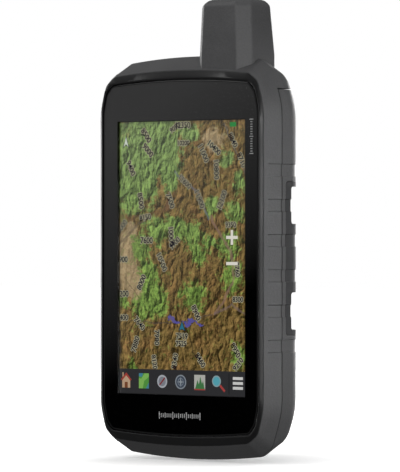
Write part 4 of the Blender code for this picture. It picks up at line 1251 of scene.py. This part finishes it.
# ---------------------------------------------------------------- stage

CAMERA_TURN, CAMERA_LENS = 40.10386, 309.02
CAMERA_PLACE = (1.03445, -1.23197, 0.08835)
CARD_LOW, CARD_HIGH, CARD_LIGHT = -0.058, 0.0655, 0.75
CARD_AWAY, CARD_HEIGHT = 0.45, 0.09
FLOOR_GLOW_IN_PAINTED_SHADOW, FLOOR_GLOW_FAR = 0.3, 0.9
MIDDLE = (0.0, 0.0, 0.085)
SKY_LOW, SKY_HIGH = 0.2, 0.38


def make_floor():
    mesh = bmesh.new()
    bmesh.ops.create_grid(mesh, x_segments=8, y_segments=8, size=4.0)
    data = baked("floor", mesh)
    g = Graph("floor_white_painted_shadow")
    parts = g.axes(g.where)
    level_where = g.add("ShaderNodeCombineXYZ", {0: parts[0], 1: parts[1], 2: 0.0}).outputs[0]
    away = g.length(level_where)
    node = g.principled(Base_Color=(0.82, 0.82, 0.82), Roughness=0.9, Specular_IOR_Level=0.1)
    node.inputs["Emission Color"].default_value = (1, 1, 1, 1)
    # The floor glows less close to the object: a painted contact shadow, added to the shadow that the lights
    # cast.
    glow = g.span(away, 0.02, 0.1, FLOOR_GLOW_IN_PAINTED_SHADOW, FLOOR_GLOW_FAR, smooth=True)
    g.put(node.inputs["Emission Strength"], glow)
    data.materials.append(g.material)
    obj = placed("floor", data)
    obj.location.z = cad_low.z - 0.0002
    obj.visible_diffuse = False
    obj.visible_glossy = False


def make_reflection_card():
    """A card at the front left that only gloss sees: dark at the foot, grey at the head."""
    mesh = bmesh.new()
    bmesh.ops.create_grid(mesh, x_segments=2, y_segments=2, size=0.5)
    mesh.transform(Matrix.Rotation(math.pi / 2, 4, "X") @ Matrix.Diagonal((0.18, 0.3, 1.0, 1.0)))
    data = baked("reflection_card", mesh)
    g = Graph("card_light")
    parts = g.axes(g.where)
    height = g.plus(parts[2], g.times(parts[0], -0.7))
    bright = g.span(height, CARD_LOW, CARD_HIGH, 0.0, CARD_LIGHT)
    side_fade = g.span(g.size(parts[0]), 0.055, 0.09, 1.0, 0.0, smooth=True)
    bright = g.times(bright, side_fade)
    bright = g.times(bright, g.span(parts[2], 0.09, 0.15, 1.0, 0.0, smooth=True))
    g.glow((1, 1, 1), bright)
    data.materials.append(g.material)
    obj = placed("reflection_card", data)
    turn = math.radians(CAMERA_TURN)
    obj.location = (-CARD_AWAY * math.sin(turn), -CARD_AWAY * math.cos(turn), CARD_HEIGHT)
    obj.rotation_euler = Euler((0, 0, -turn))
    obj.visible_camera = False
    obj.visible_diffuse = False
    obj.visible_shadow = False
    obj.visible_transmission = False


def make_camera():
    data = bpy.data.cameras.new("camera")
    data.sensor_width = 36.0
    data.lens = CAMERA_LENS
    data.clip_end = 20.0
    obj = placed("camera", data)
    turn = math.radians(CAMERA_TURN)
    obj.location = CAMERA_PLACE
    obj.rotation_euler = Vector((-math.sin(turn), math.cos(turn), 0.0)).to_track_quat("-Z", "Y").to_euler()
    bpy.context.scene.camera = obj


def area(name, place, aim, size, power):
    data = bpy.data.lights.new(name, "AREA")
    data.shape = "RECTANGLE"
    data.size, data.size_y = size
    data.energy = power
    obj = placed(name, data)
    obj.location = place
    obj.rotation_euler = (Vector(aim) - Vector(place)).to_track_quat("-Z", "Y").to_euler()
    obj.visible_camera = False
    return obj


def around(azimuth, elevation, distance, height=MIDDLE[2]):
    """A place on a ball about the object: azimuth 0 in front, 90 on its right."""
    a, e = math.radians(azimuth), math.radians(elevation)
    flat_part = distance * math.cos(e)
    return (flat_part * math.sin(a), -flat_part * math.cos(a), height + distance * math.sin(e))


def make_world():
    """White to the camera; to everything else a soft sky that is dimmer from below."""
    g = Graph("studio", bpy.data.worlds, "ShaderNodeOutputWorld", "Generated")
    bpy.context.scene.world = g.material
    strength = g.span(g.axes(g.where)[2], -0.12, 0.06, SKY_LOW, SKY_HIGH)
    lit = g.add("ShaderNodeBackground", {"Strength": strength})
    seen = g.add("ShaderNodeBackground", {"Color": (1, 1, 1)})
    to_camera = g.add("ShaderNodeLightPath").outputs["Is Camera Ray"]
    g.show(g.add("ShaderNodeMixShader", {0: to_camera, 1: lit.outputs[0], 2: seen.outputs[0]}))


make_floor()
make_camera()
make_reflection_card()
make_world()
area("front_box", around(42, 8, 1.0), MIDDLE, (0.5, 0.4), 4.6)
area("left_box", around(-50, 50, 1.0), MIDDLE, (0.4, 0.4), 1.5)
area("rear_box", around(195, 3, 1.0), MIDDLE, (0.6, 0.5), 8.0)
area("top_box", around(0, 89, 1.1), MIDDLE, (1.0, 1.0), 1.0)
area("side_box", around(-96, 4, 1.0), MIDDLE, (0.5, 0.5), 5.0)
beam = area("right_beam", around(112, 0, 0.6, 0.083), (0, 0, 0.083), (0.26, 0.146), 0.043)
beam.data.spread = math.radians(8)
bpy.context.scene.view_settings.view_transform = "Standard"
bpy.context.scene.view_settings.look = "None"
